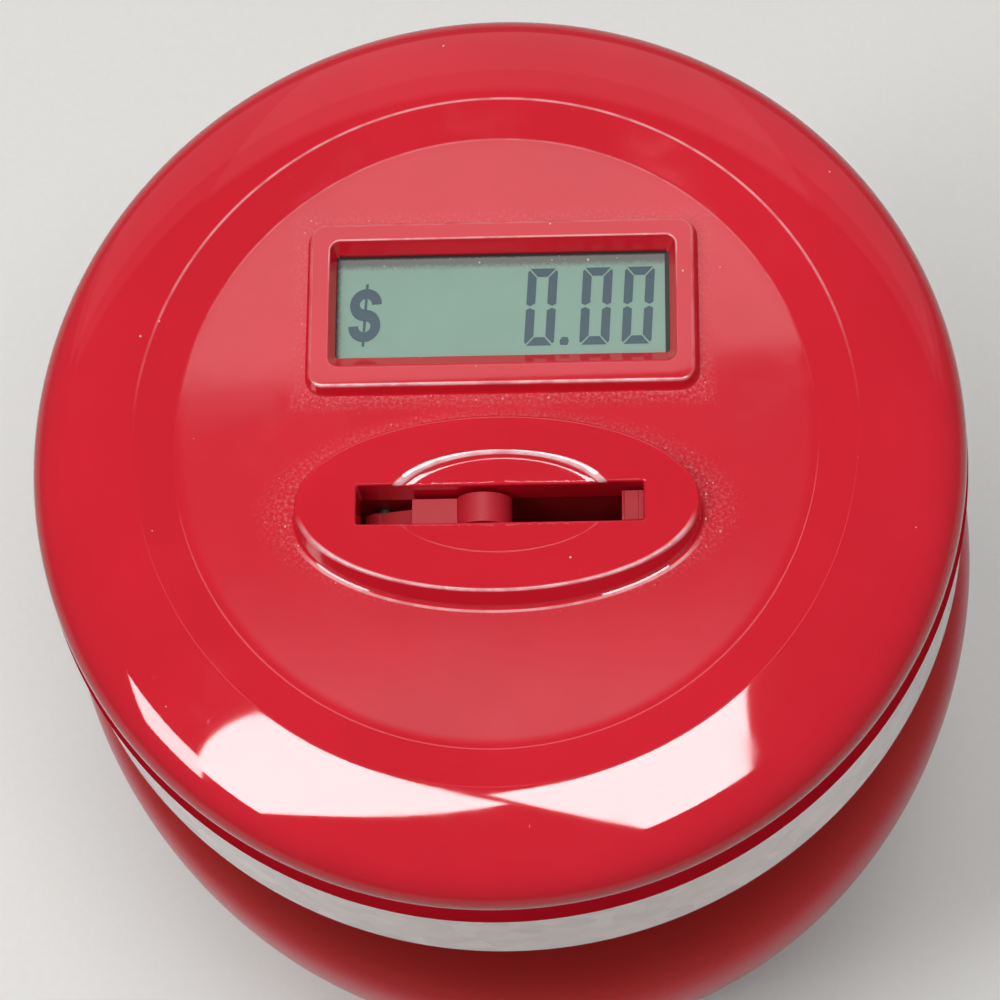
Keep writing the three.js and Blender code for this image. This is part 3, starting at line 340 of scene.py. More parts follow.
def smooth(mesh, sharp=SHARP):
    mesh.polygons.foreach_set("use_smooth", np.ones(len(mesh.polygons), bool))
    mesh.set_sharp_from_angle(angle=math.radians(sharp))


# %% Outlines
def rounded(outline, radii, steps=6):
    """Replaces each corner of a closed outline by an arc: a rational quadratic curve between the two tangent
    points, whose middle weight is the sine of half the corner."""
    p = np.asarray(outline, float)
    r = np.broadcast_to(np.asarray(radii, float), (len(p),))[:, None]
    u, v = np.roll(p, 1, 0) - p, np.roll(p, -1, 0) - p
    u, v = u / np.linalg.norm(u, axis=1, keepdims=True), v / np.linalg.norm(v, axis=1, keepdims=True)
    half = np.arccos(np.clip((u * v).sum(1, keepdims=True), -1, 1)) / 2
    reach, weight = r / np.tan(half), np.sin(half)[:, None]
    s = np.linspace(0, 1, steps + 1)[None, :, None]
    a, b, c = (1 - s) ** 2, 2 * s * (1 - s) * weight, s ** 2
    start, middle, end = (q[:, None, :] for q in (p + u * reach, p, p + v * reach))
    return ((a * start + b * middle + c * end) / (a + b + c)).reshape(-1, 2)


def turned(name, outline, material, steps):
    """An outline of (radius, height) carried round Z: x = r cos t, y = r sin t, z = h."""
    outline = np.asarray(outline, float)
    t = np.linspace(0, 2 * np.pi, steps, endpoint=False)
    r, h = outline[:, :1], outline[:, 1:]
    grid = np.stack([r * np.cos(t), r * np.sin(t), h + 0 * t], -1)
    return surface(name, grid, (outline[0, 0] > 0, True), material)


def rectangle_ring(centre, length, width, radius, z, steps=8):
    """A rectangle with round corners at one height, always with the same number of points."""
    turn_on = np.radians(np.arange(4)[:, None] * 90 + np.linspace(0, 90, steps + 1)[None, :])
    side = np.array([[1, 1], [-1, 1], [-1, -1], [1, -1]])[:, None, :]
    corner = side * (np.array([length, width]) / 2 - radius)
    flat = np.array(centre)[:2] + corner + radius * np.stack([np.cos(turn_on), np.sin(turn_on)], -1)
    flat = flat.reshape(-1, 2)
    return np.column_stack([flat, np.full(len(flat), float(z))])


def oval_ring(centre, a, b, z, steps=192):
    """An ellipse at one height: x = a cos t, y = b sin t."""
    t = np.linspace(0, 2 * np.pi, steps, endpoint=False)
    return np.stack([centre[0] + a * np.cos(t), centre[1] + b * np.sin(t), z + 0 * t], -1)


def prism(name, ring, low, high, material=None):
    """A flat outline given a thickness, closed by two faces."""
    n = len(ring)
    flat = np.asarray(ring, float)[:, :2]
    points = np.concatenate([np.column_stack([flat, np.full(n, z)]) for z in (low, high)])
    i = np.arange(n)
    sides = np.stack([i, (i + 1) % n, (i + 1) % n + n, i + n], -1).tolist()
    mesh = bpy.data.meshes.new(name)
    mesh.from_pydata((points * MM).tolist(), [], sides + [list(range(n))[::-1], list(range(n, 2 * n))])
    return finished(name, mesh, material)


# %% Joining and cutting
def combined(piece, operation, tools):
    """Joins closed tools to a piece, or cuts it with them, and applies the result."""
    for tool in tools:
        step = piece.modifiers.new("step", "BOOLEAN")
        step.operation, step.solver, step.object = operation, "MANIFOLD", tool
    shape = bpy.data.meshes.new_from_object(piece.evaluated_get(bpy.context.evaluated_depsgraph_get()))
    piece.modifiers.clear()
    piece.data = shape
    for tool in tools:
        bpy.data.objects.remove(tool)
    smooth(shape)


def mounted(piece, node, bevel=None):
    """Gives a finished piece its place in the model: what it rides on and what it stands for."""
    if bevel:
        edge = piece.modifiers.new("edge", "BEVEL")
        edge.width, edge.segments = bevel * MM, 2
        edge.limit_method, edge.angle_limit = "ANGLE", math.radians(40)
    flat = piece.modifiers.new("flats stay flat", "WEIGHTED_NORMAL")
    flat.keep_sharp, flat.weight = True, 90
    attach(piece, BODIES[node])
    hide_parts(node)
    print(piece.name, "for", node, len(piece.data.polygons), "faces")

# %% [markdown]
# ## Red plastic
# The lid is moulded in a saturated red and comes out of a polished mould, so it mirrors the room. Handling
# leaves smears, hair-fine scratches and a little dust along every raised edge. All of them are masks: a
# smear and a scratch change the roughness, and dust changes colour and roughness. Thin pale lines along
# chosen edges are painted highlights, which also stand for edges worn pale. Down the rim the red gets deeper:
# that is painted shade, where the rim turns away from the light.

# %% Masks for wear
def speckle(f, vector, per_mm, share, size):
    """Round specks: cells of a Voronoi pattern, of which only a share has a speck in its middle."""
    distance, (lot, more, _) = f.cells(vector, per_mm)
    return (distance < size * (0.4 + more)) * (lot < share)


def scratches(f, angle, per_mm, share):
    """Fine lines one way: a Voronoi pattern drawn out 40 times, seen where its cells are nearly centred."""
    lines = f.place(scale=(per_mm, per_mm / 40, per_mm), turn=(0, 0, math.radians(angle)))
    distance, (lot, _, _) = f.cells(lines, 1.0)
    return (distance < 0.05) * (lot < share)


# %% Glossy red
# The second red is painted shade for the lower rim. The pale pink below is the colour of painted highlights
# along edges, which also stand for wear. The last colour is dust.
LID_RED, PAINTED_SHADE_RED = (0.64, 0.010, 0.025), (0.36, 0.003, 0.008)
EDGE_HIGHLIGHT_PINK, DUST = (0.95, 0.60, 0.61), (0.66, 0.40, 0.40)


def glossy_red(name, highlight_lines, dust_mask=None, wear=1.0, foot=None):
    """Polished red plastic. The edge mask gives painted highlights, pale lines that also stand for edges worn
    by hands and coins. dust_mask says where dust lies, and foot gives the two heights between which a painted
    shade deepens the red downwards."""
    f = Finish(name, LID_RED, 0.07, IOR=1.5)
    at = f.place()
    cloud = f.noise(at, 0.05, 3, 0.6)
    tone = f.mix(f.fade(cloud, 0.35, 0.7), (0.62, 0.009, 0.023), (0.66, 0.011, 0.027))
    # Painted shade: the red deepens down the rim, between the two heights of foot.
    if foot:
        tone = f.mix(f.fade(f.axes(at)[2], foot[1], foot[0]), tone, PAINTED_SHADE_RED)
    lines = scratches(f, 20, 2.0, 0.06) + scratches(f, 75, 1.8, 0.06) + scratches(f, -40, 1.6, 0.05)
    worn = f.fade(f.noise(at, 0.12, 4, 0.6), 0.45, 0.7)
    dust = speckle(f, at, 0.45, 0.10, 0.05)
    if dust_mask:
        dust = dust + dust_mask(f, at)
    dust = f.clamp(dust)
    # Painted highlights: the edge mask, broken up by noise, mixes in a pale pink. These pale lines also stand
    # for wear.
    patchy = f.fade(f.noise(at, 0.35, 3), 0.35, 0.6, (0.55, 1))
    tone = f.mix(f.clamp(highlight_lines(f, at) * patchy), tone, EDGE_HIGHLIGHT_PINK)
    f.set(Base_Color=f.mix(dust, tone, DUST),
          Roughness=0.035 + worn * 0.045 * wear + dust * 0.5 + lines * 0.12 * wear,
          Normal=f.bump(lines * -0.001 * wear + dust * 0.01 + cloud * 0.003))
    return f.material


# %% Distances that masks are made of
def line_at(f, distance, half):
    """1 where a distance is nearly nothing, 0 from half on."""
    return f.fade(abs(distance), half, half * 0.4)


def ellipse(x, y, centre, a, b):
    """How far out a point lies in an ellipse: 0 in its middle and 1 on it. The root of the squares of the two
    distances, each as a share of its half axis."""
    return (((x - centre[0]) / a) ** 2 + ((y - centre[1]) / b) ** 2) ** 0.5


def box_distance(f, x, y, half, radius):
    """How far a point lies from a rectangle with round corners: the root of the squares of how far it is past
    each straight side, less the radius."""
    past = [f.larger(abs(v) - h + radius, 0.0) for v, h in zip((x, y), half)]
    return (past[0] * past[0] + past[1] * past[1]) ** 0.5 - radius


# %% Where the lid is dusty, and where painted highlights lie along its edges
def dust_on_lid(f, at):
    """Dust lies in the corner round the two raised frames, thinning out within about 4 mm, and as a thin film
    on the dish, most of it towards the reader."""
    x, y, _ = f.axes(at)
    ring = f.fade(abs(ellipse(x, y, oval_centre, oval_a, oval_b) - 1.02), 0.22, 0.0)
    past = [abs(v - middle) - size / 2 for v, middle, size in zip((x, y), frame_centre, frame_size)]
    border = f.fade(abs(f.larger(*past)), 3.0, 0.0)
    grains = f.fade(f.noise(at, 2.4, 5, 0.7), 0.45, 0.7)
    crumbs = speckle(f, at, 1.3, 0.40, 0.14)
    in_dish = f.fade((x * x + y * y) ** 0.5, DISH_FLOOR_R - 0.3, DISH_FLOOR_R - 1.5)
    film = f.fade(y + f.noise(at, 0.06, 4, 0.6) * 16, -4, -28) * 0.10 + 0.022
    return f.larger(ring, border) * (grains * 0.24 + crumbs * 0.6) + in_dish * film


def lid_highlight_lines(f, at):
    """Painted highlights, thin pale lines that also stand for wear: the dish's edge and, fainter, its floor's
    edge, both mostly at the rear, and the foot of the oval towards the reader."""
    x, y, z = f.axes(at)
    r = (x * x + y * y) ** 0.5
    rings = line_at(f, r - DISH_R - 0.2, 0.2) * 0.5 + line_at(f, r - DISH_FLOOR_R + 0.1, 0.16) * 0.2
    foot = ellipse(x, y, oval_centre - OVAL_LEAN, oval_a + 0.35, oval_b + 0.75)
    front = line_at(f, (foot - 1) * oval_b, 0.22) * f.fade(y - oval_centre[1], -3, -7) * 0.6
    return (rings * f.fade(y, 0, 32) + front) * (z > DISH_Z - 0.3)


# The lid: painted highlights on its edges and painted shade down its rim.
lid_red = glossy_red("lid_gloss", lid_highlight_lines, dust_on_lid, foot=(SHOULDER_Z + 0.3, SHOULDER_Z + 4.6))


# %% Plain finishes
def plain(name, tones, rough, per_mm=0.6, grain=0.01, detail=4, **constants):
    """A surface with one noise, which mixes its two tones, adds to its roughness and gives it a slight grain.
    rough holds the least roughness and what the noise adds to it, grain the height in millimetres."""
    f = Finish(name, tones[0], rough[0], **constants)
    cloud = f.noise(f.place(), per_mm, detail)
    f.set(Roughness=rough[0] + cloud * rough[1], Normal=f.bump(cloud * grain))
    if len(tones) > 1:
        f.set(Base_Color=f.mix(cloud, *tones))
    return f.material


satin_red = plain("satin_red", [(0.43, 0.012, 0.022), (0.50, 0.017, 0.030)], (0.34, 0.16), 3.0, 0.006, 3,
                  Specular_IOR_Level=0.25)
# A darker red than the lid's, as painted shade for the skirt, and a duller finish.
skirt_shaded_red = plain("skirt_shaded_red", [(0.44, 0.006, 0.015), (0.50, 0.008, 0.018)], (0.20, 0.20), 0.15, 0.02,
                  Specular_IOR_Level=0.0)
bare_red = plain("jar_inside", [(0.31, 0.008, 0.016), (0.38, 0.012, 0.020)], (0.42, 0.16), 0.12, 0.03,
                 Specular_IOR_Level=0.35)
rubber = plain("matt_rubber", [(0.035, 0.035, 0.038)], (0.60, 0.25), 3.0, 0.02)
print("red finishes:", lid_red.name, satin_red.name, skirt_shaded_red.name, bare_red.name)

# %% [markdown]
# ## The other finishes of the outside
# The jar's lacquer has metal flakes under a clear coat. The band is plastic with a thin bright plating, which
# is never quite even.

# %% Lacquer and bright plating
lacquer = Finish("body_lacquer", (0.15, 0.003, 0.007), 0.2, Metallic=0.94, Specular_IOR_Level=0.15,
                 Specular_Tint=(1.0, 0.12, 0.16, 1), Coat_Weight=0.05, Coat_Roughness=0.04)
at = lacquer.place()
_, (flake, _, _) = lacquer.cells(at, 6.0)
depth = lacquer.noise(at, 0.03, 2)
lacquer.set(Base_Color=lacquer.mix(flake * 0.5 + depth * 0.4, (0.08, 0.0011, 0.003), (0.17, 0.003, 0.008)),
            Roughness=0.14 + flake * 0.10)

plating = Finish("bright_plating", (0.48, 0.45, 0.44), 0.16, Metallic=1.0)
at = plating.place()
_, (facet, other, _) = plating.cells(at, 0.35)
haze = plating.noise(at, 0.5, 5, 0.65)
uneven = plating.clamp(facet * 0.25 + haze * 0.75)
plating.set(Base_Color=plating.mix(uneven, (0.32, 0.28, 0.275), (0.58, 0.52, 0.51)),
            Roughness=0.10 + other * 0.10 + haze * 0.10,
            Normal=plating.bump(haze * 0.03 + facet * 0.02, 0.5))
print("outside finishes:", lacquer.material.name, plating.material.name, rubber.name)

# %% [markdown]
# ## The jar
# The body is turned: one outline from the foot ring over the belly to the neck, and back down the inside.
# The belly's outline is two cubic curves that meet at the widest place. Three lugs stand out of the neck,
# and the lid's lugs catch under them. Only the outside is lacquered, so the faces that look inwards get the
# bare plastic: one mesh may hold several materials, and each face has the number of its own.

# %% Jar outline
def cubic(p0, p1, p2, p3, steps):
    """A cubic curve: each point is the sum of the four corners, weighted by the terms of (1 - s + s) cubed."""
    s = np.linspace(0, 1, steps + 1)[:, None]
    a, b, c, d = (np.array(p, float) for p in (p0, p1, p2, p3))
    return (1 - s) ** 3 * a + 3 * s * (1 - s) ** 2 * b + 3 * s ** 2 * (1 - s) * c + s ** 3 * d


BELLY_R, NECK_TOP = JAR[1][0], JAR[1][2]
LEDGE_Z, BELLY_Z, WALL = BAND[0][2] - 0.3, 87.5, 2.4
LEDGE_R, FOOT_R, NECK_R = BELLY_R - 3.1, BELLY_R - 13, 50.2
RISE = LEDGE_Z - BELLY_Z
FLOOR_LOW, FLOOR_HIGH = 1.6, 4.2


def jar_outline():
    """The outline from the middle of the underside, over the foot ring and the belly to the neck, and back
    down the inside to the middle of its floor."""
    belly = np.concatenate([
        cubic((FOOT_R + 0.8, FLOOR_LOW), (FOOT_R + 4.55, 0.36 * BELLY_Z), (BELLY_R, 0.62 * BELLY_Z),
              (BELLY_R, BELLY_Z), 40),
        cubic((BELLY_R, BELLY_Z), (BELLY_R, BELLY_Z + 0.5 * RISE), (LEDGE_R + 1.24, LEDGE_Z - 0.2 * RISE),
              (LEDGE_R, LEDGE_Z), 24)[1:]])
    inside = belly[(belly[:, 1] > 9) & (belly[:, 1] < LEDGE_Z - WALL - 1)][::-1] - [WALL, 0]
    foot = [(0, FLOOR_LOW), (FOOT_R - 6.3, FLOOR_LOW), (FOOT_R - 5.5, 0), (FOOT_R, 0)]
    neck = [(NECK_R, LEDGE_Z), (NECK_R, NECK_TOP), (NECK_R - WALL, NECK_TOP), (NECK_R - WALL, LEDGE_Z - WALL),
            (LEDGE_R - WALL, LEDGE_Z - WALL)]
    corners = [*foot, *belly, *neck, *inside, (FOOT_R - WALL, FLOOR_HIGH), (0, FLOOR_HIGH)]
    # Round are both corners of the foot ring, the ledge, the four corners of the neck and the inside's lowest.
    arcs = np.zeros(len(corners))
    arcs[2:4], arcs[len(belly) + 3] = 0.4, 0.5
    arcs[len(belly) + 5:len(belly) + 9] = 0.4, 0.4, 0.8, 1.0
    arcs[-2] = 2.5
    return rounded(corners, arcs, 4)


# %% Jar body
LUGS_AT, LUG_TOP = (90, 210, 330), PLANE - 7.3


def sector(r0, r1, middle, arc, low, high, steps=16):
    """A stretch of a ring: an outline of two arcs, given a thickness."""
    t = np.radians(middle + np.linspace(-arc / 2, arc / 2, steps + 1))
    outer = np.column_stack([r1 * np.cos(t), r1 * np.sin(t)])
    inner = np.column_stack([r0 * np.cos(t[::-1]), r0 * np.sin(t[::-1])])
    return prism("sector", np.concatenate([outer, inner]), low, high)


def second_finish(piece, first, second, chosen):
    """Gives two finishes to a piece: the second goes to the faces that chosen picks from their middles and
    normals, in millimetres."""
    piece.data.materials.clear()
    for material in (first, second):
        piece.data.materials.append(material)
    count = len(piece.data.polygons)
    middles, normals = np.empty(3 * count), np.empty(3 * count)
    piece.data.polygons.foreach_get("center", middles)
    piece.data.polygons.foreach_get("normal", normals)
    picked = chosen(middles.reshape(-1, 3) / MM, normals.reshape(-1, 3))
    piece.data.polygons.foreach_set("material_index", picked.astype(np.int32))
    print(piece.name, int(picked.sum()), "of", count, "faces have", second.name)


def faces_inside(at, way):
    """The faces that look towards the axis, and those of the floor that look up."""
    inwards = (at * way)[:, :2].sum(1) < -0.3 * np.hypot(at[:, 0], at[:, 1])
    on_floor = (way[:, 2] > 0.9) & (at[:, 2] < FLOOR_HIGH + 1.8)
    return (at[:, 2] > 3) & (inwards | on_floor)


jar = turned("jar", jar_outline(), lacquer.material, 224)
lugs = []
for middle in LUGS_AT:
    lugs.append(sector(NECK_R - 1.2, NECK_R + 2.6, middle, 34, LUG_TOP - 2, LUG_TOP))
    lugs.append(sector(NECK_R - 1.2, NECK_R + 2.6, middle - 15.5, 2.5, LUG_TOP - 4.3, LUG_TOP - 1))
combined(jar, "UNION", lugs)
second_finish(jar, lacquer.material, bare_red, faces_inside)
mounted(jar, "jar_body")

# %% [markdown]
# ## The bright band and the seal
# The band is a turned ring that widens a little downwards. Its edges are rolled, which gives the thin bright
# lines at its top and foot. The seal is a flat rubber ring with rounded edges.

# %% Band and seal
BAND_R, BAND_TOP, BAND_FOOT = BAND[1][0], BAND[1][2], BAND[0][2]
BAND_BORE = NECK_R + 0.3
ring = rounded([(BAND_R - 1.5, BAND_FOOT), (BAND_R, BAND_FOOT), (BAND_R - 1, BAND_TOP), (BAND_BORE, BAND_TOP),
                (BAND_BORE, BAND_TOP - 1.5), (BAND_R - 2.5, BAND_TOP - 1.5)], [0.3, 0.7, 0.7, 0.2, 0.2, 0.5])
mounted(turned("band", ring, plating.material, 224), "trim_band")
inner, outer = NECK_R - 3.3, NECK_R - 0.3
ring = rounded([(inner, SEAL[0][2]), (outer, SEAL[0][2]), (outer, SEAL[1][2]), (inner, SEAL[1][2])], 0.5)
mounted(turned("seal", ring, rubber, 128), "seal_ring")

# %% [markdown]
# ## The lid
# The lid's outline runs from the middle of the dish over its slope to its edge, and from there in one long
# curve over the rim and down the skirt, then back up the inside. The curve is close to an ellipse, so that a
# lamp mirrored in the rim keeps smooth sides. Small arcs at the dish's edge and at its floor catch the light
# as two thin rings, which painted highlights brighten at the rear. The faces below the shoulder get a second,
# duller red, as the mould is polished only above. That red is also darker, a painted shade of the skirt.

# %% Lid outline
def quarter(centre_r, centre_z, a, b, steps):
    """A quarter of an ellipse from its highest point out to its widest: r = a sin t, z = b cos t."""
    t = np.linspace(0, np.pi / 2, steps + 1)
    return np.column_stack([centre_r + a * np.sin(t), centre_z + b * np.cos(t)])


def rim_curve(r0, r1, low, high, steps, back=6.6, power=2.5, crowd=1.2):
    """The rim from its foot at r1 in to its edge at r0: with s the share of the way out from a centre that
    lies back from the edge, the height is the root of order power of one minus s to that power. A higher
    crowd puts more of the points near the foot."""
    reach = r1 - r0 + back
    first = back / reach
    s = np.sin(np.linspace(np.arcsin(first ** crowd), np.pi / 2, steps + 1)) ** (1 / crowd)
    drop = (1 - np.clip(s, 0, 1) ** power) ** (1 / power)
    return np.column_stack([r0 - back + reach * s, low + (high - low) * drop / drop[0]])[::-1]


COLLAR_R = NECK_R - WALL - 1.4
COLLAR_BORE = COLLAR_R - 2
COLLAR_END = LID[0][2]
SKIRT_Z, UNDER_Z = PLANE - 12, DISH_Z - 2.4
LID_WALL = 2.2
SHOULDER_BORE = SHOULDER_R - LID_WALL


def lid_outline():
    """The outline from the middle of the underside, down the collar, round the inside and over the top."""
    seat = NECK_R + 0.3
    inner_arch = quarter(seat, SHOULDER_Z, SHOULDER_BORE - seat, 4.6, 10)
    crown = rim_curve(DISH_R, SHOULDER_R, SHOULDER_Z, EDGE_Z, 56)
    points = [(0, UNDER_Z), (COLLAR_BORE, UNDER_Z), (COLLAR_BORE, COLLAR_END), (COLLAR_R, COLLAR_END),
              (COLLAR_R, PLANE - 1.9), *inner_arch, (LID_R - LID_WALL, SKIRT_Z), (LID_R, SKIRT_Z), *crown,
              (DISH_FLOOR_R, DISH_Z), (0, DISH_Z)]
    # Round are the corners of the collar and of the skirt, the dish's edge and the edge of its floor.
    skirt = 5 + len(inner_arch)
    arcs = np.zeros(len(points))
    arcs[1:5] = 0.8, 0.3, 0.3, 0.6
    arcs[skirt:skirt + 2] = 0.3, 0.9
    arcs[-3:-1] = 0.8, 3.0
    return rounded(points, arcs)


# %% Lid body
def upright(x, y, radius, low, high):
    return prism("upright", oval_ring((x, y), radius, radius, 0, 32), low, high)


def screw_places(kind):
    """Where the four screws of a kind stand."""
    return [centre_of(box_mm(f"{kind}_{i}"))[:2] for i in range(1, 5)]


POSTS, BOSSES = screw_places("board_screw"), screw_places("base_screw")
BOARD_TOP = box_mm("circuit_board")[1][2]
lid = turned("lid", lid_outline(), lid_red, 256)
grown = [sector(NECK_R + 0.5, SHOULDER_BORE + 1.1, middle + 45, 26, LUG_TOP - 4.3, LUG_TOP - 2.3)
         for middle in LUGS_AT]
grown += [upright(x, y, 2.4, BOARD_TOP + 0.3, UNDER_Z + 0.2) for x, y in POSTS]
grown += [upright(x, y, 3.2, COLLAR_END, UNDER_Z + 0.2) for x, y in BOSSES]
combined(lid, "UNION", grown)
gone = [prism("hole", rectangle_ring(frame_centre, *(frame_size - 1.6), 1.2, 0), UNDER_Z - 1, DISH_Z + 1),
        prism("hole", oval_ring(oval_centre, oval_a - 3.6, oval_b - 3.1, 0, 96), UNDER_Z - 1, DISH_Z + 1)]
gone += [upright(x, y, 1.3, BOARD_TOP - 1, UNDER_Z) for x, y in POSTS]
gone += [upright(x, y, 1.5, COLLAR_END - 1, PLANE - 11.3) for x, y in BOSSES]
combined(lid, "DIFFERENCE", gone)
# The skirt's faces get the darker red of painted shade.
second_finish(lid, lid_red, skirt_shaded_red, lambda at, way: at[:, 2] < SHOULDER_Z + 0.4)
mounted(lid, "lid_shell")

# %% [markdown]
# ## The display's frame
# The frame is one ring of moulded plastic. Its section starts at the foot outside, rises to a rounded edge,
# crosses the flat top and falls in a slope to the glass. Each step of the section is a round-cornered
# rectangle, so the whole frame is a grid of points that closes both ways. The top leans back by FRAME_LEAN, a
# slope of a third of a degree, which is enough to move what it mirrors.

# %% Display frame
def arc_steps(start, end, bend, steps=5):
    """Points of a quadratic curve between two places of the section: inset and height, bent towards a third."""
    s = np.linspace(0, 1, steps + 1)[:, None]
    a, m, b = (np.array(p, float) for p in (start, bend, end))
    return (1 - s) ** 2 * a + 2 * s * (1 - s) * m + s ** 2 * b


FRAME_TOP, GLASS_TOP = FRAME_BOX[1][2], GLASS[1][2]
FRAME_LEAN = 0.005
window_size = frame_size - [2 * 3.15, 2 * 3.95]
window_centre = frame_centre[:2] + [0, 0.5]
WINDOW_GROWS, WINDOW_MOVES = np.array([1.6, 3.1]), np.array([0.1, -0.35])
outside = [*arc_steps((-0.4, DISH_Z + 0.02), (-0.15, DISH_Z + 0.35), (-0.25, DISH_Z + 0.08), 3),
           *arc_steps((0.15, FRAME_TOP - 0.25), (0.48, FRAME_TOP), (0.2, FRAME_TOP))]
opening = [*arc_steps((1.0, FRAME_TOP), (0.8, FRAME_TOP - 0.3), (0.85, FRAME_TOP)),
           *arc_steps((0.12, GLASS_TOP + 0.9), (0.0, GLASS_TOP + 0.55), (0.02, GLASS_TOP + 0.75), 4),
           (0.0, GLASS_TOP + 0.04)]
rows = [rectangle_ring(frame_centre, *(frame_size - 2 * inset), 2.0 - inset, z) for inset, z in outside]
rows += [rectangle_ring(window_centre + WINDOW_MOVES * g, *(window_size + WINDOW_GROWS * g), 0.4 + 0.9 * g, z)
         for g, z in opening]
rows += [rectangle_ring(frame_centre, *(frame_size - 2.2), 0.9, z) for z in (GLASS_TOP + 0.04, DISH_Z - 0.02)]
rows = np.stack(rows)
rows[..., 2] -= FRAME_LEAN * (rows[..., 1] - FRAME_BOX[0][1]) * (rows[..., 2] > GLASS_TOP + 0.6)


def frame_highlight_lines(f, at):
    """Painted highlights, which also stand for wear: the outer edge of the top, most of it at the front, and
    the upper edge of the opening at its rear.
    """
    x, y, z = f.axes(at)
    back, half = y - frame_centre[1], frame_size[1] / 2
    outer = box_distance(f, x - frame_centre[0], back, frame_size / 2 - 0.33, 1.67)
    inner = box_distance(f, x - window_centre[0] - WINDOW_MOVES[0], y - window_centre[1] - WINDOW_MOVES[1],
                         (window_size + WINDOW_GROWS) / 2, 1.3)
    in_front = f.fade(back, 1 - half, 0.4 - half, (0.2, 0.75))
    at_rear = f.fade(back, 0, 8, (0.05, 0.5))
    return (line_at(f, outer, 0.24) * in_front + line_at(f, inner, 0.15) * at_rear) * (z > FRAME_TOP - 0.4)


frame_red = glossy_red("frame_red", frame_highlight_lines, wear=0.6)
mounted(surface("display_frame", rows, (True, True), frame_red), "display_bezel")

# %% [markdown]
# ## The oval round the slot
# The oval is a pad of elliptical rings: up the side, over a soft edge, across the flat and down into a hollow
# for the fingertip that pushes the coin. The hollow is deeper behind the slot than in front of it. The slot
# is then cut with a tool that is flared at the top, so that its edge comes out rounded along the hollow too.

# %% Slot pad
OVAL_TOP = OVAL_BOX[1][2]
HOLLOW_A, HOLLOW_B, LIP = 12.7, 6.0, 0.35
SLOT_HALF = np.array([oval_a - 7.2, oval_b - 8.35])
slot_centre = oval_centre + [0.4, 0, 0]


def hollow_depth(x, y):
    """How far the pad lies under its top. Behind the slot it is a plane that falls towards the slot and ends
    in a round wall, in front a step as thin as a hair. The rim of both is the ellipse where far is 1."""
    back = y - slot_centre[1]
    far = np.clip(np.hypot((x - slot_centre[0]) / HOLLOW_A, back / HOLLOW_B), 0, 1)
    rear = 1 / (1 + np.exp(-back * 2))
    plane = 0.30 + 0.105 * (HOLLOW_B - back)
    return 0.015 * (1 - far ** 90) ** 0.5 + rear * plane * (1 - far ** 36) ** 0.5


# The side's rings: how far in they lie, their share of the lean, and their height.
SIDE = [(-0.6, 1.0, DISH_Z + 0.02), (-0.42, 0.95, DISH_Z + 0.08), (-0.3, 0.88, DISH_Z + 0.4),
        (-0.04, 0.1, OVAL_TOP - 0.3), (0.02, 0.02, OVAL_TOP - 0.12), (0.12, 0.0, OVAL_TOP - 0.02),
        (0.3, 0.0, OVAL_TOP)]
pad = [oval_ring(oval_centre, oval_a - 3.9, oval_b - 3.4, z) for z in (UNDER_Z, DISH_Z - 0.02)]
pad += [oval_ring(oval_centre - OVAL_LEAN * lean, oval_a - 0.4 - inset, oval_b - inset, z)
        for inset, lean, z in SIDE]
pad += [oval_ring(slot_centre, HOLLOW_A + LIP + grow, HOLLOW_B + LIP + grow, OVAL_TOP) for grow in (0.6, 0.0)]
for far in np.sin(np.linspace(np.radians(84), 0, 24)):
    ring = oval_ring(slot_centre, HOLLOW_A * far, HOLLOW_B * far, OVAL_TOP)
    ring[:, 2] -= hollow_depth(ring[:, 0], ring[:, 1])
    pad.append(ring)


def pad_highlight_lines(f, at):
    """Painted highlights, which also stand for wear: the outer edge towards the reader, and the rim of the
    hollow behind the slot.
    """
    x, y, z = f.axes(at)
    outer = ellipse(x, y, oval_centre, oval_a - 0.55, oval_b - 0.15)
    rim = ellipse(x, y, slot_centre, HOLLOW_A + 0.2, HOLLOW_B + 0.2)
    front = line_at(f, (outer - 1) * oval_b, 0.24) * f.fade(y - oval_centre[1], -1, -5) * 0.75
    rear = line_at(f, (rim - 1) * HOLLOW_B, 0.30) * f.fade(y - slot_centre[1], 1.5, 3)
    return (front + rear) * (z > OVAL_TOP - 0.5)


pad_red = glossy_red("pad_red", pad_highlight_lines, wear=0.6)
slot_pad = surface("slot_pad", np.stack(pad), (False, True), pad_red)

# %% The slot
# How much wider the mouth is, and at which height over the pad.
FLARE = [(0, -0.30), (0.03, -0.18), (0.09, -0.08), (0.19, -0.01), (0.30, 0.02)]


def slot_cutter():
    """A box with a flared mouth: a row of outlines whose height follows the pad, wider by the roundness of
    the edge. The long sides get points in between, so that they can follow the hollow."""
    ring = rectangle_ring(slot_centre, *(2 * SLOT_HALF), 0.25, 0, 3)
    step = np.linspace(0, 1, 40)[:-1, None]
    sides = zip(ring, np.roll(ring, -1, 0))
    edge = np.concatenate([a + (b - a) * step if np.linalg.norm(b - a) > 1 else a[None] for a, b in sides])
    out = np.clip((edge[:, :2] - slot_centre[:2]) / SLOT_HALF, -1, 1)
    out = np.where(np.abs(out) > 0.985, np.sign(out), 0.0)

    def level(grow, height, rise=0):
        row = edge.copy()
        row[:, :2] += out * grow
        row[:, 2] = OVAL_TOP - hollow_depth(row[:, 0], row[:, 1]) + rise if height is None else height
        return row

    flare = [level(grow, None, rise) for grow, rise in FLARE]
    rows = [level(0, UNDER_Z - 1), *flare, level(0.34, OVAL_TOP + 0.5)]
    return surface("cutter", np.stack(rows), (False, True))


def capped(work):
    """Closes the open ends of a tube with flat faces."""
    bmesh.ops.holes_fill(work, edges=[e for e in work.edges if e.is_boundary])
    bmesh.ops.recalc_face_normals(work, faces=work.faces)


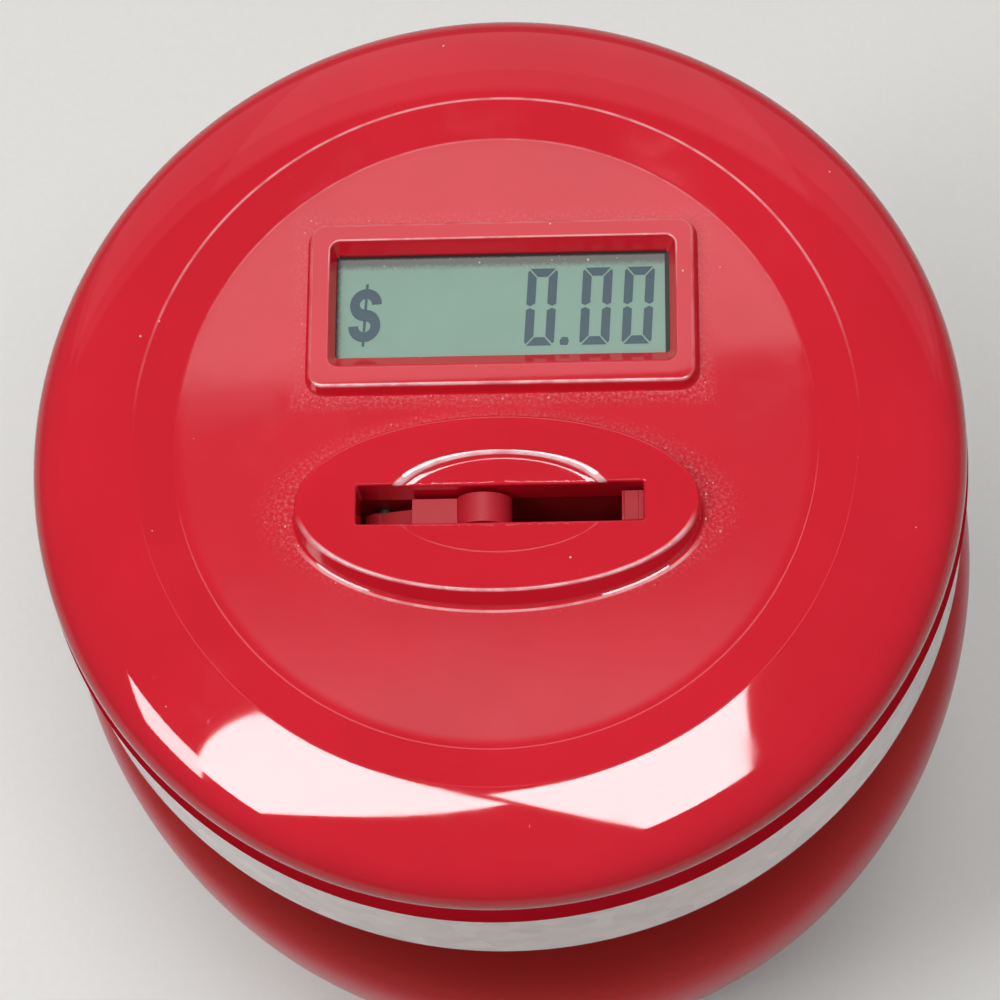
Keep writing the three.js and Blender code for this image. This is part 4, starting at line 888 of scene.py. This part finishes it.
cutter = slot_cutter()
for tube in (slot_pad, cutter):
    edited(tube.data, capped)
combined(slot_pad, "DIFFERENCE", [cutter])
mounted(slot_pad, "slot_bezel")

# %% [markdown]
# ## The coin lever
# The lever is a moulded arm on an axle, with a round nose that a coin's edge pushes aside. Only the flat end
# of the arm and the nose show in the slot.

# %% Lever
LEVER, SHAFT = box_mm("coin_lever"), box_mm("lever_shaft")
NOSE_R = 3.25
pivot = centre_of(SHAFT)[[0, 2]]
nose = np.array([LEVER[1][0] - NOSE_R, PLANE - 2.4])
arm_top = nose[1] + 0.8
arm_x = oval_centre[0] - SLOT_HALF[0] + 6.6
LEVER_Y = LEVER[0][1], LEVER[1][1]


def along_y(outline, low, high, name="along"):
    """A side view of (x, z) points, given its width along Y."""
    piece = prism(name, np.asarray(outline), low, high)
    piece.data.transform(Matrix(((1, 0, 0, 0), (0, 0, 1, 0), (0, 1, 0, 0), (0, 0, 0, 1))))
    piece.data.flip_normals()
    return piece


def circle(centre, radius, steps=48):
    return oval_ring(centre, radius, radius, 0, steps)[:, :2]


arm = [(arm_x, arm_top), (arm_x, arm_top - 3.8), pivot + [-1.2, 2.04], pivot + [1.2, -1.92],
       nose - [NOSE_R / 3, 0.9 * NOSE_R], (nose[0], arm_top)]
lever = along_y(arm, *LEVER_Y, "lever")
combined(lever, "UNION", [along_y(circle(nose, NOSE_R, 64), *LEVER_Y), along_y(circle(pivot, 2.4), *LEVER_Y)])
combined(lever, "DIFFERENCE", [along_y(circle(pivot, 1.3, 32), LEVER_Y[0] - 1, LEVER_Y[1] + 1)])
lever.data.materials.clear()
lever.data.materials.append(satin_red)
mounted(lever, "coin_lever", bevel=0.15)

# %% [markdown]
# ## The display
# A liquid crystal display is a sandwich: glass, the crystal, glass and a reflector. From outside it is a
# grey-green sheet. A painted shadow darkens it under the frame's rear edge, and painted shade runs as dark
# lines along its rear edge and its sides, where the frame shades it. The characters are thin flat shapes just
# over it. Each bar of a figure is a polygon whose ends are cut on the diagonal, and the dollar sign is a strip
# carried along two arcs.

# %% Display glass
crystal = Finish("display_sheet", (0.27, 0.44, 0.35), 0.3, Specular_IOR_Level=0.3, Coat_Weight=0.3,
                 Coat_Roughness=0.05)
at = crystal.place(centre=(*window_centre, 0))
x, y, _ = crystal.axes(at)
half_x, half_y = window_size / 2
grit = crystal.noise(at, 2.2, 4, 0.7)
# Painted shadow of the frame's rear edge: a grey-brown band across the top of the sheet.
band = crystal.fade(y + grit * 1.2, half_y - 1.35, half_y - 0.35)
rear = crystal.fade(y + grit * 0.3, half_y - 0.35, half_y - 0.1)
right = crystal.fade(x, half_x - 0.56, half_x - 0.48)
left = crystal.fade(x - grit * 0.5, 0.5 - half_x, -half_x - 0.3)
sides = right + left
sheet = crystal.mix(crystal.noise(at, 0.12, 3), (0.195, 0.332, 0.263), (0.240, 0.385, 0.311))
sheet = crystal.mix(band * 0.9, sheet, (0.13, 0.125, 0.115))
crumbs = speckle(crystal, at, 1.4, 0.5, 0.16) * crystal.clamp(band + sides)
sheet = crystal.mix(crumbs, sheet, (0.55, 0.45, 0.42))
# Painted shade: near-black lines along the rear edge and both sides, where the frame shades the sheet.
crystal.set(Base_Color=crystal.mix(crystal.clamp(rear + sides), sheet, (0.012, 0.008, 0.008)))
ring = rectangle_ring(centre_of(GLASS), *(GLASS[1] - GLASS[0])[:2], 0.3, 0, 3)
mounted(prism("display_glass", ring, GLASS[0][2], GLASS_TOP - 0.06, crystal.material), "lcd_glass", bevel=0.1)

# %% Characters
slate = Finish("display_characters", (0.048, 0.090, 0.110), 0.4)
patchy = slate.noise(slate.place(), 0.8, 3)
slate.set(Base_Color=slate.mix(patchy, (0.025, 0.061, 0.081), (0.037, 0.080, 0.103)))
FIGURE_W, FIGURE_H, BAR, GAP, SLANT = 3.55, 9.8, 1.06, 0.12, 0.055
FIGURES_AT = (3.45, 10.0, 15.0)
DOT = [(7.75, 0.05), (8.6, 0.0), (8.8, 0.5), (8.65, 1.0), (8.0, 1.05), (7.7, 0.6)]
LINE_FOOT = window_centre[1] - 5.2


def figure_zero(left, foot):
    """The six outer bars of a seven-bar figure, as polygons in the plane of the display."""
    w, h, t, g = FIGURE_W, FIGURE_H, BAR, GAP
    flat_top = [(g + 0.15, h), (w - g - 0.15, h), (w - t - g, h - t), (t + g, h - t)]
    side = [(0, h - g - 0.35), (0.18, h - g - 0.1), (t, h - t - g), (t, h / 2 + 0.45), (t * 0.45, h / 2 + g),
            (0, h / 2 + 0.35)]
    shapes = []
    for bar, mirrors in ((flat_top, [1]), (side, [1, -1])):
        for across in mirrors:
            bar_here = np.array(bar) * [across, 1] + [w * (across < 0), 0]
            shapes += [bar_here, bar_here * [1, -1] + [0, h]]
    return [np.column_stack([s[:, 0] + left + SLANT * s[:, 1], s[:, 1] + foot]) for s in shapes]


def arc(low, high, centre):
    """Part of a circle of radius 1 round a point on the upright axis."""
    t = np.radians(np.linspace(low, high, 40))
    return np.column_stack([np.cos(t), np.sin(t) + centre])


def dollar_sign(centre, radius, width):
    """A strip along two arcs of one radius, the upper turned one way and the lower the other, with stubs of a
    thin upright bar where the strip leaves it free. The strip is a little thicker in its middle."""
    line = np.concatenate([arc(0, 270, 1), arc(90, -180, -1)[1:]]) * radius
    way = np.gradient(line, axis=0)
    across = np.column_stack([-way[:, 1], way[:, 0]]) / np.linalg.norm(way, axis=1, keepdims=True)
    half = (width / 2 + 0.10 * np.exp(-(line[:, 1] / 0.6) ** 2))[:, None]
    strip = np.stack([line + across * half, line - across * half], 1)
    shapes = [np.array([a[0], a[1], b[1], b[0]]) for a, b in zip(strip[:-1], strip[1:])]
    reach, gap = 2 * radius + width / 2 - 0.02, radius - width / 2 - 0.04
    stubs = [(reach, reach + 0.62), (radius - gap, radius + gap)]
    stubs += [(-high, -low) for low, high in stubs[::-1]]
    shapes += [np.array([(-0.17, low), (0.17, low), (0.17, high), (-0.17, high)]) for low, high in stubs]
    return [np.column_stack([s[:, 0] * 0.95 + SLANT * s[:, 1], s[:, 1]]) + centre for s in shapes]


def facing_up(work):
    for face in work.faces:
        if face.normal.z < 0:
            face.normal_flip()


def flat_shapes(name, shapes, z, material):
    """Many flat polygons at one height, as one mesh."""
    points = np.concatenate([np.column_stack([s, np.full(len(s), z)]) for s in shapes])
    ends = np.cumsum([len(s) for s in shapes])
    faces = [list(range(e - len(s), e)) for s, e in zip(shapes, ends)]
    mesh = bpy.data.meshes.new(name)
    mesh.from_pydata((points * MM).tolist(), [], faces)
    mesh.materials.append(material)
    edited(mesh, facing_up)
    return placed(name, mesh)


shapes = [bar for left in FIGURES_AT for bar in figure_zero(left, LINE_FOOT)]
shapes.append(np.array(DOT) + [0, LINE_FOOT])
shapes += dollar_sign(centre=(-15.5, 15.55), radius=1.38, width=1.25)
characters = flat_shapes("display_characters", shapes, GLASS_TOP - 0.02, slate.material)
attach(characters, "lid")
print("characters:", len(shapes), "flat shapes")

# %% [markdown]
# ## The rest of the works
# The pieces inside keep the CAD's shapes. A copy of each has its triangles merged and its edges rounded,
# and gets the finish of what it is, except the axle, which gets near-black steel as painted shade. Only the
# chute gains a wider end block, because that one shows in the slot.

# %% Finishes of the works
BY_SLOT = {
    "lid_red": plain("moulded_red", [(0.36, 0.008, 0.014), (0.43, 0.011, 0.019)], (0.32, 0.16), 0.3, 0.02,
                     Specular_IOR_Level=0.2),
    "black_plastic": plain("matt_black", [(0.018, 0.018, 0.020), (0.035, 0.035, 0.037)], (0.36, 0.18), 0.8),
    "steel": plain("nickel_steel", [(0.55, 0.55, 0.56), (0.66, 0.66, 0.66)], (0.224, 0.112), 1.2, 0.004,
                   Metallic=1.0),
    "cable_grey": plain("grey_sheath", [(0.40, 0.40, 0.41), (0.50, 0.50, 0.51)], (0.40, 0.20)),
    "wire_red": plain("wire_insulation", [(0.50, 0.02, 0.02), (0.60, 0.04, 0.03)], (0.32, 0.16)),
    "board_green": plain("solder_mask", [(0.012, 0.10, 0.035), (0.020, 0.15, 0.06)], (0.28, 0.14), 0.5),
    "cell_jacket": plain("cell_sleeve", [(0.035, 0.04, 0.055), (0.06, 0.065, 0.08)], (0.24, 0.12), 0.2, 0.002,
                         Coat_Weight=0.5),
    "seal_rubber": rubber,
}
# Near-black steel for the axle: painted shade, so that it stays as dark as the hollow it turns in.
axle = plain("shade_black_steel", [(0.012, 0.012, 0.013), (0.02, 0.02, 0.021)], (0.48, 0.24), 1.2, 0.004)

# %% Refined copies
EDGE = {"lid_base": 0.25, "battery_door": 0.2, "coin_chute": 0.15, "battery_1": 0.35, "battery_2": 0.35,
        "reset_button": 0.25}
DRESSED = {"jar_body", "trim_band", "seal_ring", "lid_shell", "display_bezel", "slot_bezel", "coin_lever",
           "lcd_glass"}


def stop_block():
    """The block at the slot's right end that a coin's edge runs against, as wide as in the photograph."""
    right = oval_centre[0] + SLOT_HALF[0] + 0.36
    left = right - 2.56
    outline = list(zip((left, right, right, left), np.repeat(LEVER_Y, 2)))
    return prism("block", outline, OVAL_TOP - 5.5, OVAL_TOP - 1.8)


def made_whole(work):
    """Merges doubles, and the triangles of each flat face."""
    bmesh.ops.remove_doubles(work, verts=work.verts, dist=1e-6)
    bmesh.ops.dissolve_limit(work, angle_limit=math.radians(1), verts=work.verts, edges=work.edges)


def refined(node):
    """A copy of a CAD node with its flat faces made whole, so that its edges can be rounded."""
    mesh = frame["nodes"][node].data.copy()
    edited(mesh, made_whole)
    smooth(mesh, 32)
    mesh.materials.clear()
    # The axle gets the near-black steel of painted shade, all else the finish of its slot.
    mesh.materials.append(axle if node == "lever_shaft" else BY_SLOT[SLOTS[node]])
    piece = placed(node + "_fine", mesh)
    if node == "coin_chute":
        combined(piece, "UNION", [stop_block()])
    mounted(piece, node, bevel=EDGE.get(node, 0.08))


for node in sorted(set(frame["nodes"]) - DRESSED):
    refined(node)
